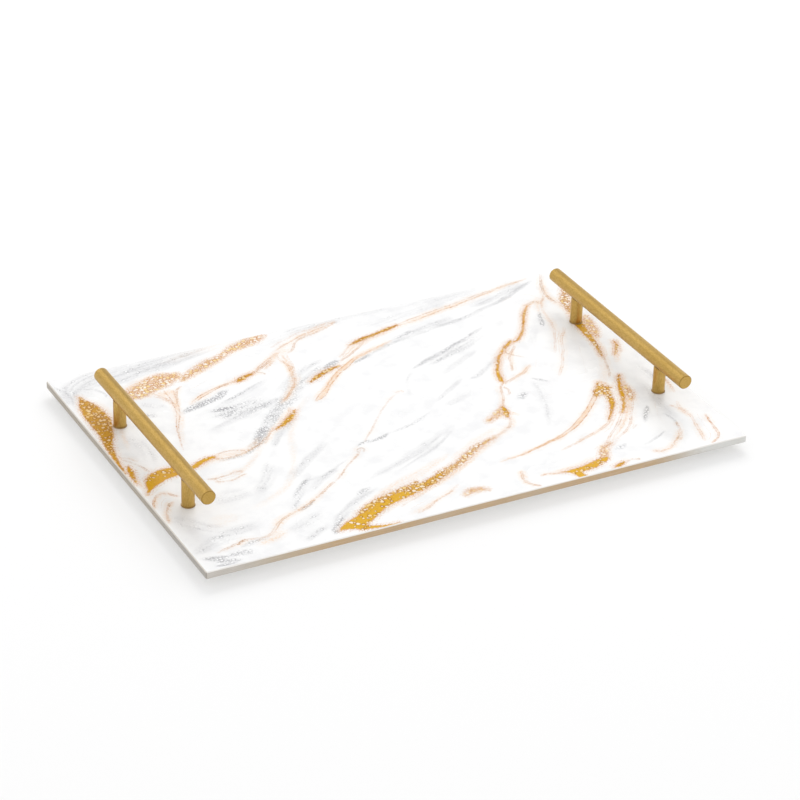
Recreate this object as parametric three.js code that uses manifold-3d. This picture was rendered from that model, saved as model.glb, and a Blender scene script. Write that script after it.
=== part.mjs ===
// A rectangular vanity tray: a glass plate with a marble pattern printed on its back,
// two round bar handles on posts, and four rubber feet.
//
// Frame: millimetres, +X along the tray's long side, +Y towards its rear long side, +Z up.
// The origin is on the table, under the middle of the plate.

import * as THREE from 'three';
import { mergeVertices } from 'three/addons/utils/BufferGeometryUtils.js';
import Module from 'manifold-3d';

const wasm = await Module();
wasm.setup();

// ---------------------------------------------------------------- driving dimensions, mm

// Plate
const plateLength = 457;
const plateDepth = 305;
const plateThickness = 6;
const plateCornerRadius = 1.5;
const arris = 0.75; // width of the small ground bevel on every glass edge
const glassHoleRadius = 3.5;

// Printed layer on the back of the glass
const printThickness = 0.25;
const printMargin = 1; // bare glass round the print

// Feet
const footHeight = 6;
const footTopRadius = 9;
const footBaseRadius = 7;
const footRounding = 1.5;
const footInset = 25; // from each edge of the plate to the foot's centre

// Handles
const handleInset = 25.5; // from the plate's short side to the bar's axis
const barRadius = 5.75;
const barLength = 202;
const barChamfer = 0.6;
const barAxisHeight = 26.5; // above the glass
const postSpacing = 128;
const postRadius = 5;
const gasketOverhang = 0.5; // how far the gasket shows round the post
const gasketThickness = 0.75;

// Fasteners, M4
const threadRadius = 2;
const studInBar = 6.5;
const studInPost = 6.5;
const studSocketRadius = 1.15;
const studSocketDepth = 2;
const screwInPost = 8;
const screwHeadRadius = 4;
const screwHeadHeight = 2.4;
const screwHeadRounding = 1.3;
const recessLength = 4.2;
const recessWidth = 1;
const recessDepth = 1.5;
const washerRadius = 6;
const washerThickness = 1;
const sleeveShort = 1; // how far the washer's sleeve stays below the glass's top face

// Clearances
const layerGap = 0.05; // adhesive line between the glass and its print
const seamGap = 0.3; // between a post's coped top and the bar
const threadGap = 0.2; // round a screw or a stud in its threaded hole
const sleeveGap = 0.3; // round the washer's sleeve in the glass hole, and round the screw in the sleeve

// ---------------------------------------------------------------- levels and places

const printBottom = footHeight;
const printTop = printBottom + printThickness;
const glassBottom = printTop + layerGap;
const glassTop = glassBottom + plateThickness;
const gasketTop = glassTop + gasketThickness;
const barAxis = glassTop + barAxisHeight;

const handleX = plateLength / 2 - handleInset;
const postY = postSpacing / 2;
const footX = plateLength / 2 - footInset;
const footY = plateDepth / 2 - footInset;

const threadHoleRadius = threadRadius + threadGap;
const sleeveRadius = glassHoleRadius - sleeveGap;
const sleeveBore = threadRadius + sleeveGap;
const gasketRadius = postRadius + gasketOverhang;

// Facets round a full turn
const barFacets = 72;
const postFacets = 48;
const washerFacets = 30;
const threadFacets = 20;
const rimSteps = 3; // steps in a rounded rim

// ---------------------------------------------------------------- finishes

function finish(colour, roughness, metalness) {
  return new THREE.MeshStandardMaterial({ color: colour, roughness, metalness });
}

const printedGlass = finish(0xf4f2ee, 0.12, 0);
const printBacking = finish(0xe9e6e0, 0.6, 0);
const brushedGold = finish(0xbb9a55, 0.38, 1);
const clearGasket = finish(0x8c7444, 0.5, 0);
const nylon = finish(0xe8e6df, 0.55, 0);
const zincSteel = finish(0xb9bcc0, 0.35, 1);
const darkSteel = finish(0x45464a, 0.4, 1);
const footRubber = finish(0x2f2f31, 0.85, 0);

// ---------------------------------------------------------------- solids: joining and cutting

// A closed geometry as a solid that can be cut and joined.
function solidOf(geometry) {
  const bare = geometry.index ? geometry.toNonIndexed() : geometry.clone();
  bare.deleteAttribute('normal');
  bare.deleteAttribute('uv');
  const merged = mergeVertices(bare, 1e-4);
  return new wasm.Manifold(new wasm.Mesh({
    numProp: 3,
    vertProperties: new Float32Array(merged.attributes.position.array),
    triVerts: new Uint32Array(merged.index.array),
  }));
}

// A solid as a geometry that a mesh can hold.
function geometryOf(solid) {
  const cut = solid.getMesh();
  const geometry = new THREE.BufferGeometry();
  geometry.setAttribute('position', new THREE.BufferAttribute(new Float32Array(cut.vertProperties), 3));
  geometry.setIndex(new THREE.BufferAttribute(new Uint32Array(cut.triVerts), 1));
  geometry.computeVertexNormals();
  return geometry;
}

// A round solid about the vertical axis. The profile is [radius, height] points, from the bottom up.
function turned(profile, facets) {
  const points = profile.map(([radius, height]) => new THREE.Vector2(radius, height));
  return new THREE.LatheGeometry(points, facets).rotateX(Math.PI / 2);
}

// Points of a quarter round that turns a flat underside, reaching out to a radius, up into a side.
function roundedRim(radius, bottom, rounding) {
  const points = [];
  for (let step = 0; step <= rimSteps; step++) {
    const turn = (step / rimSteps) * (Math.PI / 2);
    points.push([
      radius - rounding + rounding * Math.sin(turn),
      bottom + rounding - rounding * Math.cos(turn),
    ]);
  }
  return points;
}

// A plain vertical rod between two heights.
function rod(radius, bottom, top, facets) {
  return turned([[0, bottom], [radius, bottom], [radius, top], [0, top]], facets);
}

// ---------------------------------------------------------------- plate and print

const postPlaces = [
  { side: 'left', end: 'rear', x: -handleX, y: postY },
  { side: 'left', end: 'front', x: -handleX, y: -postY },
  { side: 'right', end: 'rear', x: handleX, y: postY },
  { side: 'right', end: 'front', x: handleX, y: -postY },
];

// The plate's outline, drawn in by a margin, with a round hole at each post.
function drilledOutline(margin) {
  const halfLength = plateLength / 2 - margin;
  const halfDepth = plateDepth / 2 - margin;
  const corner = plateCornerRadius;
  const outline = new THREE.Shape();
  outline.moveTo(-halfLength + corner, -halfDepth);
  outline.absarc(halfLength - corner, -halfDepth + corner, corner, -Math.PI / 2, 0);
  outline.absarc(halfLength - corner, halfDepth - corner, corner, 0, Math.PI / 2);
  outline.absarc(-halfLength + corner, halfDepth - corner, corner, Math.PI / 2, Math.PI);
  outline.absarc(-halfLength + corner, -halfDepth + corner, corner, Math.PI, 1.5 * Math.PI);
  for (const place of postPlaces) {
    const hole = new THREE.Path();
    hole.absarc(place.x, place.y, glassHoleRadius, 0, 2 * Math.PI, true);
    outline.holes.push(hole);
  }
  return outline;
}

// The glass: every edge, and the mouth of every hole, is ground to a small bevel.
function glassPlate() {
  const geometry = new THREE.ExtrudeGeometry(drilledOutline(0), {
    depth: plateThickness - 2 * arris,
    bevelEnabled: true,
    bevelThickness: arris,
    bevelSize: arris,
    bevelOffset: -arris,
    bevelSegments: 1,
    curveSegments: 12,
  });
  return geometry.translate(0, 0, arris);
}

function printLayer() {
  return new THREE.ExtrudeGeometry(drilledOutline(printMargin), {
    depth: printThickness,
    bevelEnabled: false,
    curveSegments: 12,
  });
}

// ---------------------------------------------------------------- handles

// The bar lies along Y with its middle at the origin. Its ends are chamfered and its
// underside has one blind threaded hole for each post.
function handleBar() {
  const half = barLength / 2;
  const ends = [
    [0, -half],
    [barRadius - barChamfer, -half],
    [barRadius, -half + barChamfer],
    [barRadius, half - barChamfer],
    [barRadius - barChamfer, half],
    [0, half],
  ].map(([radius, along]) => new THREE.Vector2(radius, along));
  let bar = solidOf(new THREE.LatheGeometry(ends, barFacets));
  const holeTop = studInBar - barRadius + threadGap;
  for (const y of [-postY, postY]) {
    const hole = rod(threadHoleRadius, -2 * barRadius, holeTop, threadFacets).translate(0, y, 0);
    bar = bar.subtract(solidOf(hole));
  }
  return geometryOf(bar);
}

// The post stands on its gasket. Its top is coped to the round of the bar,
// and it is bored right through for the stud above and the screw below.
function handlePost() {
  const height = barAxis - gasketTop;
  const cope = new THREE.CylinderGeometry(barRadius + seamGap, barRadius + seamGap, 4 * postRadius, barFacets);
  cope.translate(0, 0, height);
  const bore = rod(threadHoleRadius, -1, height + 1, threadFacets);
  const post = solidOf(rod(postRadius, 0, height, postFacets));
  return geometryOf(post.subtract(solidOf(cope)).subtract(solidOf(bore)));
}

// A headless stud, half in the bar and half in the post, with a hexagon socket in its lower end.
// Its height zero is the underside of the bar.
function barStud() {
  const lead = 0.5;
  const top = studInBar;
  const bottom = -studInPost;
  const body = turned([
    [0, bottom],
    [threadRadius - lead, bottom],
    [threadRadius, bottom + lead],
    [threadRadius, top - lead],
    [threadRadius - lead, top],
    [0, top],
  ], threadFacets);
  const socket = rod(studSocketRadius, bottom - 1, bottom + studSocketDepth, 6);
  return geometryOf(solidOf(body).subtract(solidOf(socket)));
}

// A flat ring under the post.
function postGasket() {
  return turned([
    [threadHoleRadius, 0],
    [gasketRadius, 0],
    [gasketRadius, gasketThickness],
    [threadHoleRadius, gasketThickness],
    [threadHoleRadius, 0],
  ], washerFacets);
}

// ---------------------------------------------------------------- fasteners and feet

// A flange under the print, with a sleeve that lines the hole through print and glass.
// Its height zero is the underside of the print.
function shoulderWasher() {
  const sleeveTop = glassTop - printBottom - sleeveShort;
  return turned([
    [sleeveBore, -washerThickness],
    [washerRadius, -washerThickness],
    [washerRadius, 0],
    [sleeveRadius, 0],
    [sleeveRadius, sleeveTop],
    [sleeveBore, sleeveTop],
    [sleeveBore, -washerThickness],
  ], washerFacets);
}

// A pan-head screw, head down, with a cross recess. Its height zero is the face under its head.
function panScrew() {
  const lead = 0.6;
  const shank = gasketTop - printBottom + washerThickness + screwInPost;
  const profile = [
    [0, -screwHeadHeight],
    ...roundedRim(screwHeadRadius, -screwHeadHeight, screwHeadRounding),
    [screwHeadRadius, 0],
    [threadRadius, 0],
    [threadRadius, shank - lead],
    [threadRadius - lead, shank],
    [0, shank],
  ];
  let screw = solidOf(turned(profile, threadFacets));
  for (const turn of [0, Math.PI / 2]) {
    const arm = new THREE.BoxGeometry(recessLength, recessWidth, 2 * recessDepth);
    arm.rotateZ(turn).translate(0, 0, -screwHeadHeight);
    screw = screw.subtract(solidOf(arm));
  }
  return geometryOf(screw);
}

// A tapered rubber bumper with a rounded rim where it meets the table.
function bumperFoot() {
  return turned([
    [0, 0],
    ...roundedRim(footBaseRadius, 0, footRounding),
    [footTopRadius, footHeight],
    [0, footHeight],
  ], washerFacets);
}

// ---------------------------------------------------------------- assembly

const group = new THREE.Group();

function place(name, geometry, material, x, y, z) {
  const mesh = new THREE.Mesh(geometry, material.clone());
  mesh.name = name;
  mesh.position.set(x, y, z);
  group.add(mesh);
}

place('glass_plate', glassPlate(), printedGlass, 0, 0, glassBottom);
place('marble_print', printLayer(), printBacking, 0, 0, printBottom);

place('handle_bar_left', handleBar(), brushedGold, -handleX, 0, barAxis);
place('handle_bar_right', handleBar(), brushedGold, handleX, 0, barAxis);

for (const { side, end, x, y } of postPlaces) {
  const spot = `${side}_${end}`;
  place(`post_${spot}`, handlePost(), brushedGold, x, y, gasketTop);
  place(`bar_stud_${spot}`, barStud(), darkSteel, x, y, barAxis - barRadius);
  place(`gasket_${spot}`, postGasket(), clearGasket, x, y, glassTop);
  place(`washer_${spot}`, shoulderWasher(), nylon, x, y, printBottom);
  place(`screw_${spot}`, panScrew(), zincSteel, x, y, printBottom - washerThickness);
}

for (const { side, end, x, y } of postPlaces) {
  place(`foot_${side}_${end}`, bumperFoot(), footRubber, Math.sign(x) * footX, Math.sign(y) * footY, 0);
}

export default group;
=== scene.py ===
# %% [markdown]
# # A marble-print glass tray with brushed gold bar handles
#
# The tray is a flat rectangle of 6 mm glass. A white, grey and gold marble pattern is printed on the
# back of the glass, and two round bar handles stand on posts that are screwed through it from below.
# Four rubber bumpers lift it off the table.
#
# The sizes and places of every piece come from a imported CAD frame, which is loaded first.
# Everything here is in metres: +X runs along the tray, +Y to its rear, +Z up.

import math

import bpy
import numpy as np
from mathutils import Matrix, Vector


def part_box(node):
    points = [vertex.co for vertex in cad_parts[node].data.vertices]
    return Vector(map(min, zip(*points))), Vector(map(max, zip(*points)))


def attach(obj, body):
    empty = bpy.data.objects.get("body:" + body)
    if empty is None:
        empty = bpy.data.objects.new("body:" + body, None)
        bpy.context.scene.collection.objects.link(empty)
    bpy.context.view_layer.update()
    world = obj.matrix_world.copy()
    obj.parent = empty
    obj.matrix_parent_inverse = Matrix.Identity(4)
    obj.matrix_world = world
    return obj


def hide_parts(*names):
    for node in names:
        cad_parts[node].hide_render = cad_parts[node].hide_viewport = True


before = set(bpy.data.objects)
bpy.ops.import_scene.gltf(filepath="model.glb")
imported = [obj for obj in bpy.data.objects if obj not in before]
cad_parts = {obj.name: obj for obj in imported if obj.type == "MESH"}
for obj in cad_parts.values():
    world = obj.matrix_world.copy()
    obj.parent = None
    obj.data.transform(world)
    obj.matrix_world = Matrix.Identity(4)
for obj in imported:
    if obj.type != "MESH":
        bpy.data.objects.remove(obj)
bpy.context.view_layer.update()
MM = 0.001
SPOTS = [f"{side}_{end}" for side in ("left", "right") for end in ("rear", "front")]
print("nodes in the frame:", len(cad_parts))

# %% [markdown]
# ## Camera
# A long lens from a good distance keeps the plate's long edges almost parallel. The camera
# stands 2.3 m off, to the left of the front, and looks down about 30 degrees. It also leans by less
# than two degrees about its own line of sight.

# %% Place the camera
glass_low, glass_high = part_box("glass_plate")
CAMERA_TURN = math.radians(28.48)
CAMERA_PITCH = math.radians(29.60)
CAMERA_ROLL = math.radians(1.82)
CAMERA_DISTANCE = 2.316
AIM = Vector((0.0107, 0.0090, glass_high.z))
LENS_MM = 133.1

backwards = Vector((
    -math.sin(CAMERA_TURN) * math.cos(CAMERA_PITCH),
    -math.cos(CAMERA_TURN) * math.cos(CAMERA_PITCH),
    math.sin(CAMERA_PITCH),
))
level_right = Vector((math.cos(CAMERA_TURN), -math.sin(CAMERA_TURN), 0.0))
roll = Matrix.Rotation(CAMERA_ROLL, 3, backwards)
camera_right = roll @ level_right
camera_up = backwards.cross(camera_right)
camera_data = bpy.data.cameras.new("camera")
camera_data.sensor_width = 36.0
camera_data.lens = LENS_MM
camera_data.clip_end = 20.0
camera = bpy.data.objects.new("camera", camera_data)
bpy.context.scene.collection.objects.link(camera)
turn = Matrix((camera_right, camera_up, backwards)).transposed()
camera.matrix_world = Matrix.Translation(AIM + backwards * CAMERA_DISTANCE) @ turn.to_4x4()
bpy.context.scene.camera = camera
print("camera stands at", [round(part, 3) for part in camera.location])

# %% [markdown]
# ## Floor and light
# The tray stands on a light table: a pale floor that glows a little itself, so that the shadow under the
# plate stays soft and light. It is one large square just under the feet.

# %% Make the floor
FLOOR_SIZE = 40.0
FLOOR_DROP = 0.0002


def deselect():
    if bpy.context.object and bpy.context.object.mode != "OBJECT":
        bpy.ops.object.mode_set(mode="OBJECT")
    bpy.ops.object.select_all(action="DESELECT")


deselect()
bpy.ops.mesh.primitive_plane_add(size=FLOOR_SIZE, location=(0, 0, -FLOOR_DROP))
floor = bpy.context.object
floor.name = "floor"
print("floor:", FLOOR_SIZE, "m square")

# %% [markdown]
# Shiny brass shows whatever stands around it, so the tray is in a tent of even white. The tent has one
# darker opening behind the tray, and the round bars draw it out into a narrow olive shade. The
# plain "Standard" view keeps white white, where a film-like view would turn it grey.

# %% Put up the tent
scene = bpy.context.scene
scene.view_settings.view_transform = "Standard"
TENT_LIGHT = 0.97
OPENING_LIGHT = 0.55
OPENING_TOWARDS = Vector((0.50, 0.76, 0.40)).normalized()
OPENING_RIM = 0.955
OPENING_CORE = 0.99

world = bpy.data.worlds.new("surround")
scene.world = world
world.use_nodes = True
tent = world.node_tree
towards = tent.nodes.new("ShaderNodeTexCoord")
facing = tent.nodes.new("ShaderNodeVectorMath")
facing.operation = "DOT_PRODUCT"
facing.inputs[1].default_value = OPENING_TOWARDS
tent.links.new(towards.outputs["Generated"], facing.inputs[0])
shade = tent.nodes.new("ShaderNodeMapRange")
shade.interpolation_type = "SMOOTHSTEP"
shade.inputs["From Min"].default_value = OPENING_RIM
shade.inputs["From Max"].default_value = OPENING_CORE
shade.inputs["To Min"].default_value = TENT_LIGHT
shade.inputs["To Max"].default_value = OPENING_LIGHT
tent.links.new(facing.outputs["Value"], shade.inputs["Value"])
tent.nodes["Background"].inputs["Color"].default_value = (1.0, 1.0, 1.0, 1.0)
tent.links.new(shade.outputs["Result"], tent.nodes["Background"].inputs["Strength"])
print("tent:", TENT_LIGHT, "opening:", OPENING_LIGHT)

# %% [markdown]
# Three lamps do one job each. "side" is seen only by shiny surfaces and draws the long highlight on
# the brass. "back" is a weak light over the rear edge. "shadow" lights only rough surfaces: it throws the
# short shadow towards the front left and leaves the highlights alone.

# %% Hang the lamps

def soft_light(name, place, size, watts):
    """A round lamp that faces the tray."""
    data = bpy.data.lights.new(name, "AREA")
    data.shape = "DISK"
    data.size = size
    data.energy = watts
    light = bpy.data.objects.new(name, data)
    scene.collection.objects.link(light)
    light.location = place
    light.rotation_euler = (AIM - Vector(place)).to_track_quat("-Z", "Y").to_euler()
    return light


side_light = soft_light("side", (2.4, 1.3, 2.1), 2.6, 13.0)
side_light.visible_diffuse = False
soft_light("back", (-0.5, 2.2, 1.8), 1.8, 3.5)
shadow_light = soft_light("shadow", (1.45, 2.35, 2.35), 2.4, 62.0)
shadow_light.visible_glossy = False

# %% [markdown]
# ## Node helpers
# Every finish is a small tree of nodes. These helpers add a node, join its inputs and hand
# back its output, so that a finish reads from top to bottom like a recipe.

# %% Node helpers
def linear(red, green, blue):
    """A colour on the 0 to 255 scale of a paint chart, as the linear light that a shader works in."""
    def light(part):
        part = part / 255
        return part / 12.92 if part <= 0.04045 else ((part + 0.055) / 1.055) ** 2.4
    return (light(red), light(green), light(blue), 1.0)


class Recipe:
    """A material's node tree, written as calls that each return an output socket."""

    def __init__(self, name):
        self.material = bpy.data.materials.new(name)
        self.material.use_nodes = True
        self.tree = self.material.node_tree
        self.shader = self.tree.nodes["Principled BSDF"]

    def put(self, socket, value):
        """Join a socket to another one, or set its value."""
        if isinstance(value, bpy.types.NodeSocket):
            self.tree.links.new(value, socket)
        else:
            socket.default_value = value

    def node(self, kind, out=0, settings=None, **inputs):
        """Add a node. Inputs are given by name, or as i0, i1 and so on where names repeat."""
        made = self.tree.nodes.new(kind)
        for key, value in (settings or {}).items():
            setattr(made, key, value)
        for key, value in inputs.items():
            numbered = key[0] == "i" and key[1:].isdigit()
            self.put(made.inputs[int(key[1:])] if numbered else made.inputs[key], value)
        return made.outputs[out]

    def coords(self, scale=(1, 1, 1)):
        """The place on the piece, in metres times the scale."""
        where = self.node("ShaderNodeTexCoord", out="Object")
        return self.node("ShaderNodeMapping", Vector=where, Scale=scale)

    def place(self):
        """How far along X, Y and Z a point of the piece lies, in metres."""
        where = self.node("ShaderNodeTexCoord", out="Object")
        return self.node("ShaderNodeSeparateXYZ", i0=where).node.outputs

    def field(self, name):
        """The three numbers that a piece carries at each of its points under that name."""
        vector = self.node("ShaderNodeAttribute", out="Vector", settings={"attribute_name": name})
        return self.node("ShaderNodeSeparateXYZ", i0=vector).node.outputs

    def noise(self, where, scale, detail=2.0, rough=0.5):
        return self.node("ShaderNodeTexNoise", Vector=where, Scale=scale, Detail=detail, Roughness=rough)

    def math(self, operation, first, second=0.0):
        return self.node("ShaderNodeMath", settings={"operation": operation}, i0=first, i1=second)

    def swing(self, where, scale, detail=2.0, rough=0.5):
        """Noise that swings to both sides of zero."""
        return self.math("SUBTRACT", self.noise(where, scale, detail, rough), 0.5)

    def plus(self, first, *others):
        for other in others:
            first = self.math("ADD", first, other)
        return first

    def times(self, first, *others):
        for other in others:
            first = self.math("MULTIPLY", first, other)
        return first

    def step(self, value, low, high, to_low=0.0, to_high=1.0):
        """A smooth change from to_low to to_high as value goes from low to high."""
        return self.node(
            "ShaderNodeMapRange", settings={"interpolation_type": "SMOOTHSTEP"},
            i0=value, i1=low, i2=high, i3=to_low, i4=to_high,
        )

    def mix(self, share, first, second):
        """The first colour, with a share of the second laid over it."""
        made = self.tree.nodes.new("ShaderNodeMix")
        made.data_type = "RGBA"
        factor, under, over = (made.inputs[number] for number in (0, 6, 7))
        self.put(factor, share)
        self.put(under, first)
        self.put(over, second)
        return made.outputs[2]

    def bump(self, height, strength, distance):
        return self.node("ShaderNodeBump", Height=height, Strength=strength, Distance=distance)

    def finish(self, **inputs):
        """Set the shader's own inputs, and hand back the material."""
        for key, value in inputs.items():
            self.put(self.shader.inputs[key.replace("_", " ")], value)
        return self.material


print("mid grey as linear light:", round(linear(128, 128, 128)[0], 3))

# %% [markdown]
# A light table is milky and evenly lit. The floor could be pure white and lit by lamps alone, but then
# the shadow under the plate would be dark. A part of its light is its own glow instead, which
# no shadow can take away. It stays plain, because only the tray should hold the eye.

# %% Floor finish
FLOOR_GLOW = 0.372
FLOOR_ALBEDO = 0.506
floor.data.materials.append(Recipe("floor_light_table").finish(
    Base_Color=(FLOOR_ALBEDO, FLOOR_ALBEDO, FLOOR_ALBEDO, 1),
    Roughness=0.9,
    Emission_Color=(1.0, 1.0, 1.0, 1),
    Emission_Strength=FLOOR_GLOW,
))
print("floor finish:", floor.data.materials[0].name)

# %% [markdown]
# ## Marble pattern
# Real acrylic-pour marble is paint that ran across the sheet: wide gold rivers full of little
# air cells, thin threads of orange and brown, and soft peach and grey washes. A noise texture
# alone can't put a river where a designer wants it. So each river, thread and wash is a stroke here:
# a few points in millimetres on the plate, each with the stroke's half width there. A smooth
# curve is drawn through the points, and each point of the plate learns how deep it lies
# in each kind of stroke. The shader adds the cells, grains and ragged rims at a finer scale.

# %% The gold rivers: points are (x, y, half width) in millimetres
GOLD = {
    # name: (tone from 0 yellow to 1 brown, share of cells, points)
    "left edge": (0.62, 0.6, [
        (-215, 118, 0.5), (-215, 106, 4.8), (-214.3, 92, 7.4), (-213.8, 80, 8.4), (-216.5, 66, 6.6),
        (-219.5, 51, 4.6), (-222.3, 38, 2.8), (-224.5, 24, 1.8), (-226, 10, 1.2), (-228, -4, 0.6)]),
    "front blotch": (0.4, 0.98, [(-10, -137, 0.3), (-4, -134.5, 1.6), (3, -135.5, 1.2), (8, -138, 0.3)]),
    "left edge drop": (0.45, 0.35, [
        (-221.5, 5, 0.5), (-222.5, -2, 2.0), (-223.5, -10, 1.5), (-225, -20, 0.5)]),
    "left bar": (0.22, 0.2, [
        (-224, -38, 0.4), (-219, -31, 1.8), (-213, -23, 5.5), (-206, -18, 7), (-199, -16, 7),
        (-192, -16, 6.4), (-184, -16, 4.5), (-177, -17, 2.2), (-170, -13, 2.4), (-163, -9.5, 2.2),
        (-157, -9, 1.2)]),
    "upper band": (0.95, 0.98, [
        (-180, 103, 5.5), (-170, 105, 7), (-160, 110, 8), (-150, 114, 9), (-142, 117, 8.5),
        (-134, 118, 4)]),
    "upper band far": (0.95, 0.95, [
        (-130, 111, 1.4), (-122, 116, 2.6), (-112, 121, 3.5), (-102, 125.5, 3.8), (-94, 128, 3.0),
        (-87, 131.5, 2), (-79, 137, 2.4), (-70, 141.5, 3.6), (-60, 143.5, 4), (-51, 146, 4.2),
        (-44, 149, 2.5)]),
    "upper tan": (0.65, 0.3, [(-92, 89.5, 0.6), (-89.5, 91, 2.2), (-84, 93.5, 1.6), (-77, 96, 1.0)]),
    "middle brown": (0.6, 0.7, [
        (-40, 64, 0.8), (-33, 68, 1.8), (-25, 72, 2.2), (-17, 75.5, 1.8), (-9, 78, 0.8)]),
    "middle drop": (0.4, 0.5, [
        (-97, 9.5, 0.5), (-90, 13, 1.4), (-84, 17.5, 2.2), (-78, 21.5, 1.8), (-71, 30, 0.6)]),
    "rear dark": (0.75, 0.55, [
        (15, 106, 0.3), (21, 108, 1.4), (29, 110.5, 1.8), (38, 113, 1.6), (48, 115.5, 1.5),
        (58, 118, 1.5),
        (66, 120, 0.8)]),
    "front river": (0.1, 0.24, [
        (-117, -143, 0.5), (-111, -141.2, 3.2), (-104, -139.8, 6.0), (-97, -136.5, 6.2),
        (-90, -132.6, 5.4),
        (-80, -127, 5.2), (-70, -122.6, 5.3), (-60, -119.6, 5.0), (-50, -117, 4.4), (-40, -114, 2.6)]),
    "front river top": (0.25, 0.8, [
        (-96, -128, 1.2), (-84, -122, 2.6), (-72, -117, 2.6), (-60, -114, 2.4), (-48, -111, 2.4),
        (-36, -107, 1.6)]),
    "front river middle": (0.2, 0.78, [
        (-52, -117, 3.8), (-40, -114, 4.3), (-30, -112, 3.9), (-20, -108, 3.5), (-10, -102.5, 3.2)]),
    "front river foot": (0.1, 0.1, [
        (-106, -143, 2), (-100, -146, 3.4), (-94, -148.4, 1.8), (-86, -150.2, 1.1), (-74, -151.4, 0.6)]),
    "front river far": (0.25, 0.84, [
        (-12, -104, 3.2), (0, -97.8, 2.6), (10, -93.2, 2.4), (20, -87, 2.3), (26, -82.5, 2.2),
        (33, -78.8, 1.8), (42, -75.2, 1.0), (50, -72.5, 0.3)]),
    "middle blob": (0.3, 0.45, [(78.5, -34, 0.6), (77.8, -39, 2.2), (76.2, -45, 2.4), (74.5, -50, 0.8)]),
    "middle blob cells": (0.35, 0.9, [(58, -50, 0.5), (65, -46, 1.8), (72, -41, 2.6), (76, -37, 1.0)]),
    "loop": (0.25, 0.3, [
        (98, -1, 0.4), (98.8, 4, 1.7), (100.5, 11, 1.4), (103.5, 19, 1.0), (108, 28, 0.8), (114, 36, 0.8),
        (121, 43.5, 0.7), (128, 50, 0.8), (134, 54.5, 1.3), (138, 58, 0.4)]),
    "loop rise": (0.35, 0.2, [
        (138, 54, 0.2), (144, 57.5, 0.5), (150, 63.5, 0.6), (157, 72, 0.6), (163, 81, 0.7),
        (169, 91, 0.8),
        (175, 100, 0.6), (180, 106, 0.2)]),
    "cell patch": (0.25, 0.8, [
        (154, -50, 1.5), (160, -46, 4.5), (166, -44, 5.5), (171, -43, 2)]),
    "cell patch top": (0.25, 0.8, [(166, -32, 0.6), (165.5, -38, 3), (165, -44, 4.5), (164, -52, 3.4)]),
    "arc middle": (0.35, 0.4, [
        (164, -52, 2.6), (162, -59, 2.4), (159.5, -66, 2.0), (155, -73, 1.3), (150, -80, 0.7),
        (145, -86, 0.3)]),
    "arc right": (0.3, 0.35, [
        (189, -28, 0.7), (184.5, -35, 1.2), (180.5, -43, 1.2), (177, -50, 1.4), (173.5, -58, 1.5),
        (170, -66, 1.1), (165.5, -74, 1.0), (160, -81, 0.5)]),
    "arc right cells": (0.5, 0.9, [(183, -45, 0.8), (182, -52, 2.2), (180, -59, 2.2), (177, -66, 0.8)]),
    "front patch": (0.05, 0.3, [
        (73, -141, 0.5), (80, -142.6, 2.8), (88, -142.2, 3.4), (97, -140.3, 3.8), (105, -138, 3.5),
        (111, -136, 2.4)]),
    "front patch foot": (0.05, 0.1, [(79, -142, 2.6), (81, -148, 3.0), (81.5, -153, 3.0)]),
    "front patch tail": (0.45, 0.9, [
        (110, -135, 2.6), (113, -131, 2.6), (115.5, -126, 2.4), (120, -121.5, 1.8), (126, -117.5, 0.8)]),
    "front olive": (0.5, 0.3, [(111, -150, 0.8), (115, -149.5, 1.8), (121, -147, 0.8)]),
    "right post": (0.4, 0.3, [
        (208, 76, 2.4), (205, 66, 3.4), (202.6, 56, 3.4), (201.4, 44, 2.8), (200, 33, 2.2),
        (198, 23, 1.6),
        (195, 13, 1.0), (192.5, 5, 0.4)]),
    "right post cells": (0.45, 0.95, [(214, 68, 1.5), (211, 56, 3.0), (209, 45, 3.0), (206, 35, 1.5)]),
    "right rear": (0.5, 0.85, [
        (208, 78, 2.5), (211, 90, 3.5), (214, 100, 4.0), (218, 108, 3.5), (222, 116, 2.0),
        (226, 124, 0.8)]),
    "right spots": (0.35, 0.6, [(214.5, 22, 0.2), (212.5, 15, 0.9), (208, 9, 0.5), (203, 2, 0.3)]),
}
print("gold rivers:", len(GOLD), "points:", sum(len(points) for _, _, points in GOLD.values()))

# %% [markdown]
# The threads are thin lines where a drop of orange or brown ink was pulled through the white.
# They are only a millimetre or two wide, so each one keeps its side as well as its distance: a line
# drawn from a signed distance stays sharp between the points of the mesh.

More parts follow.
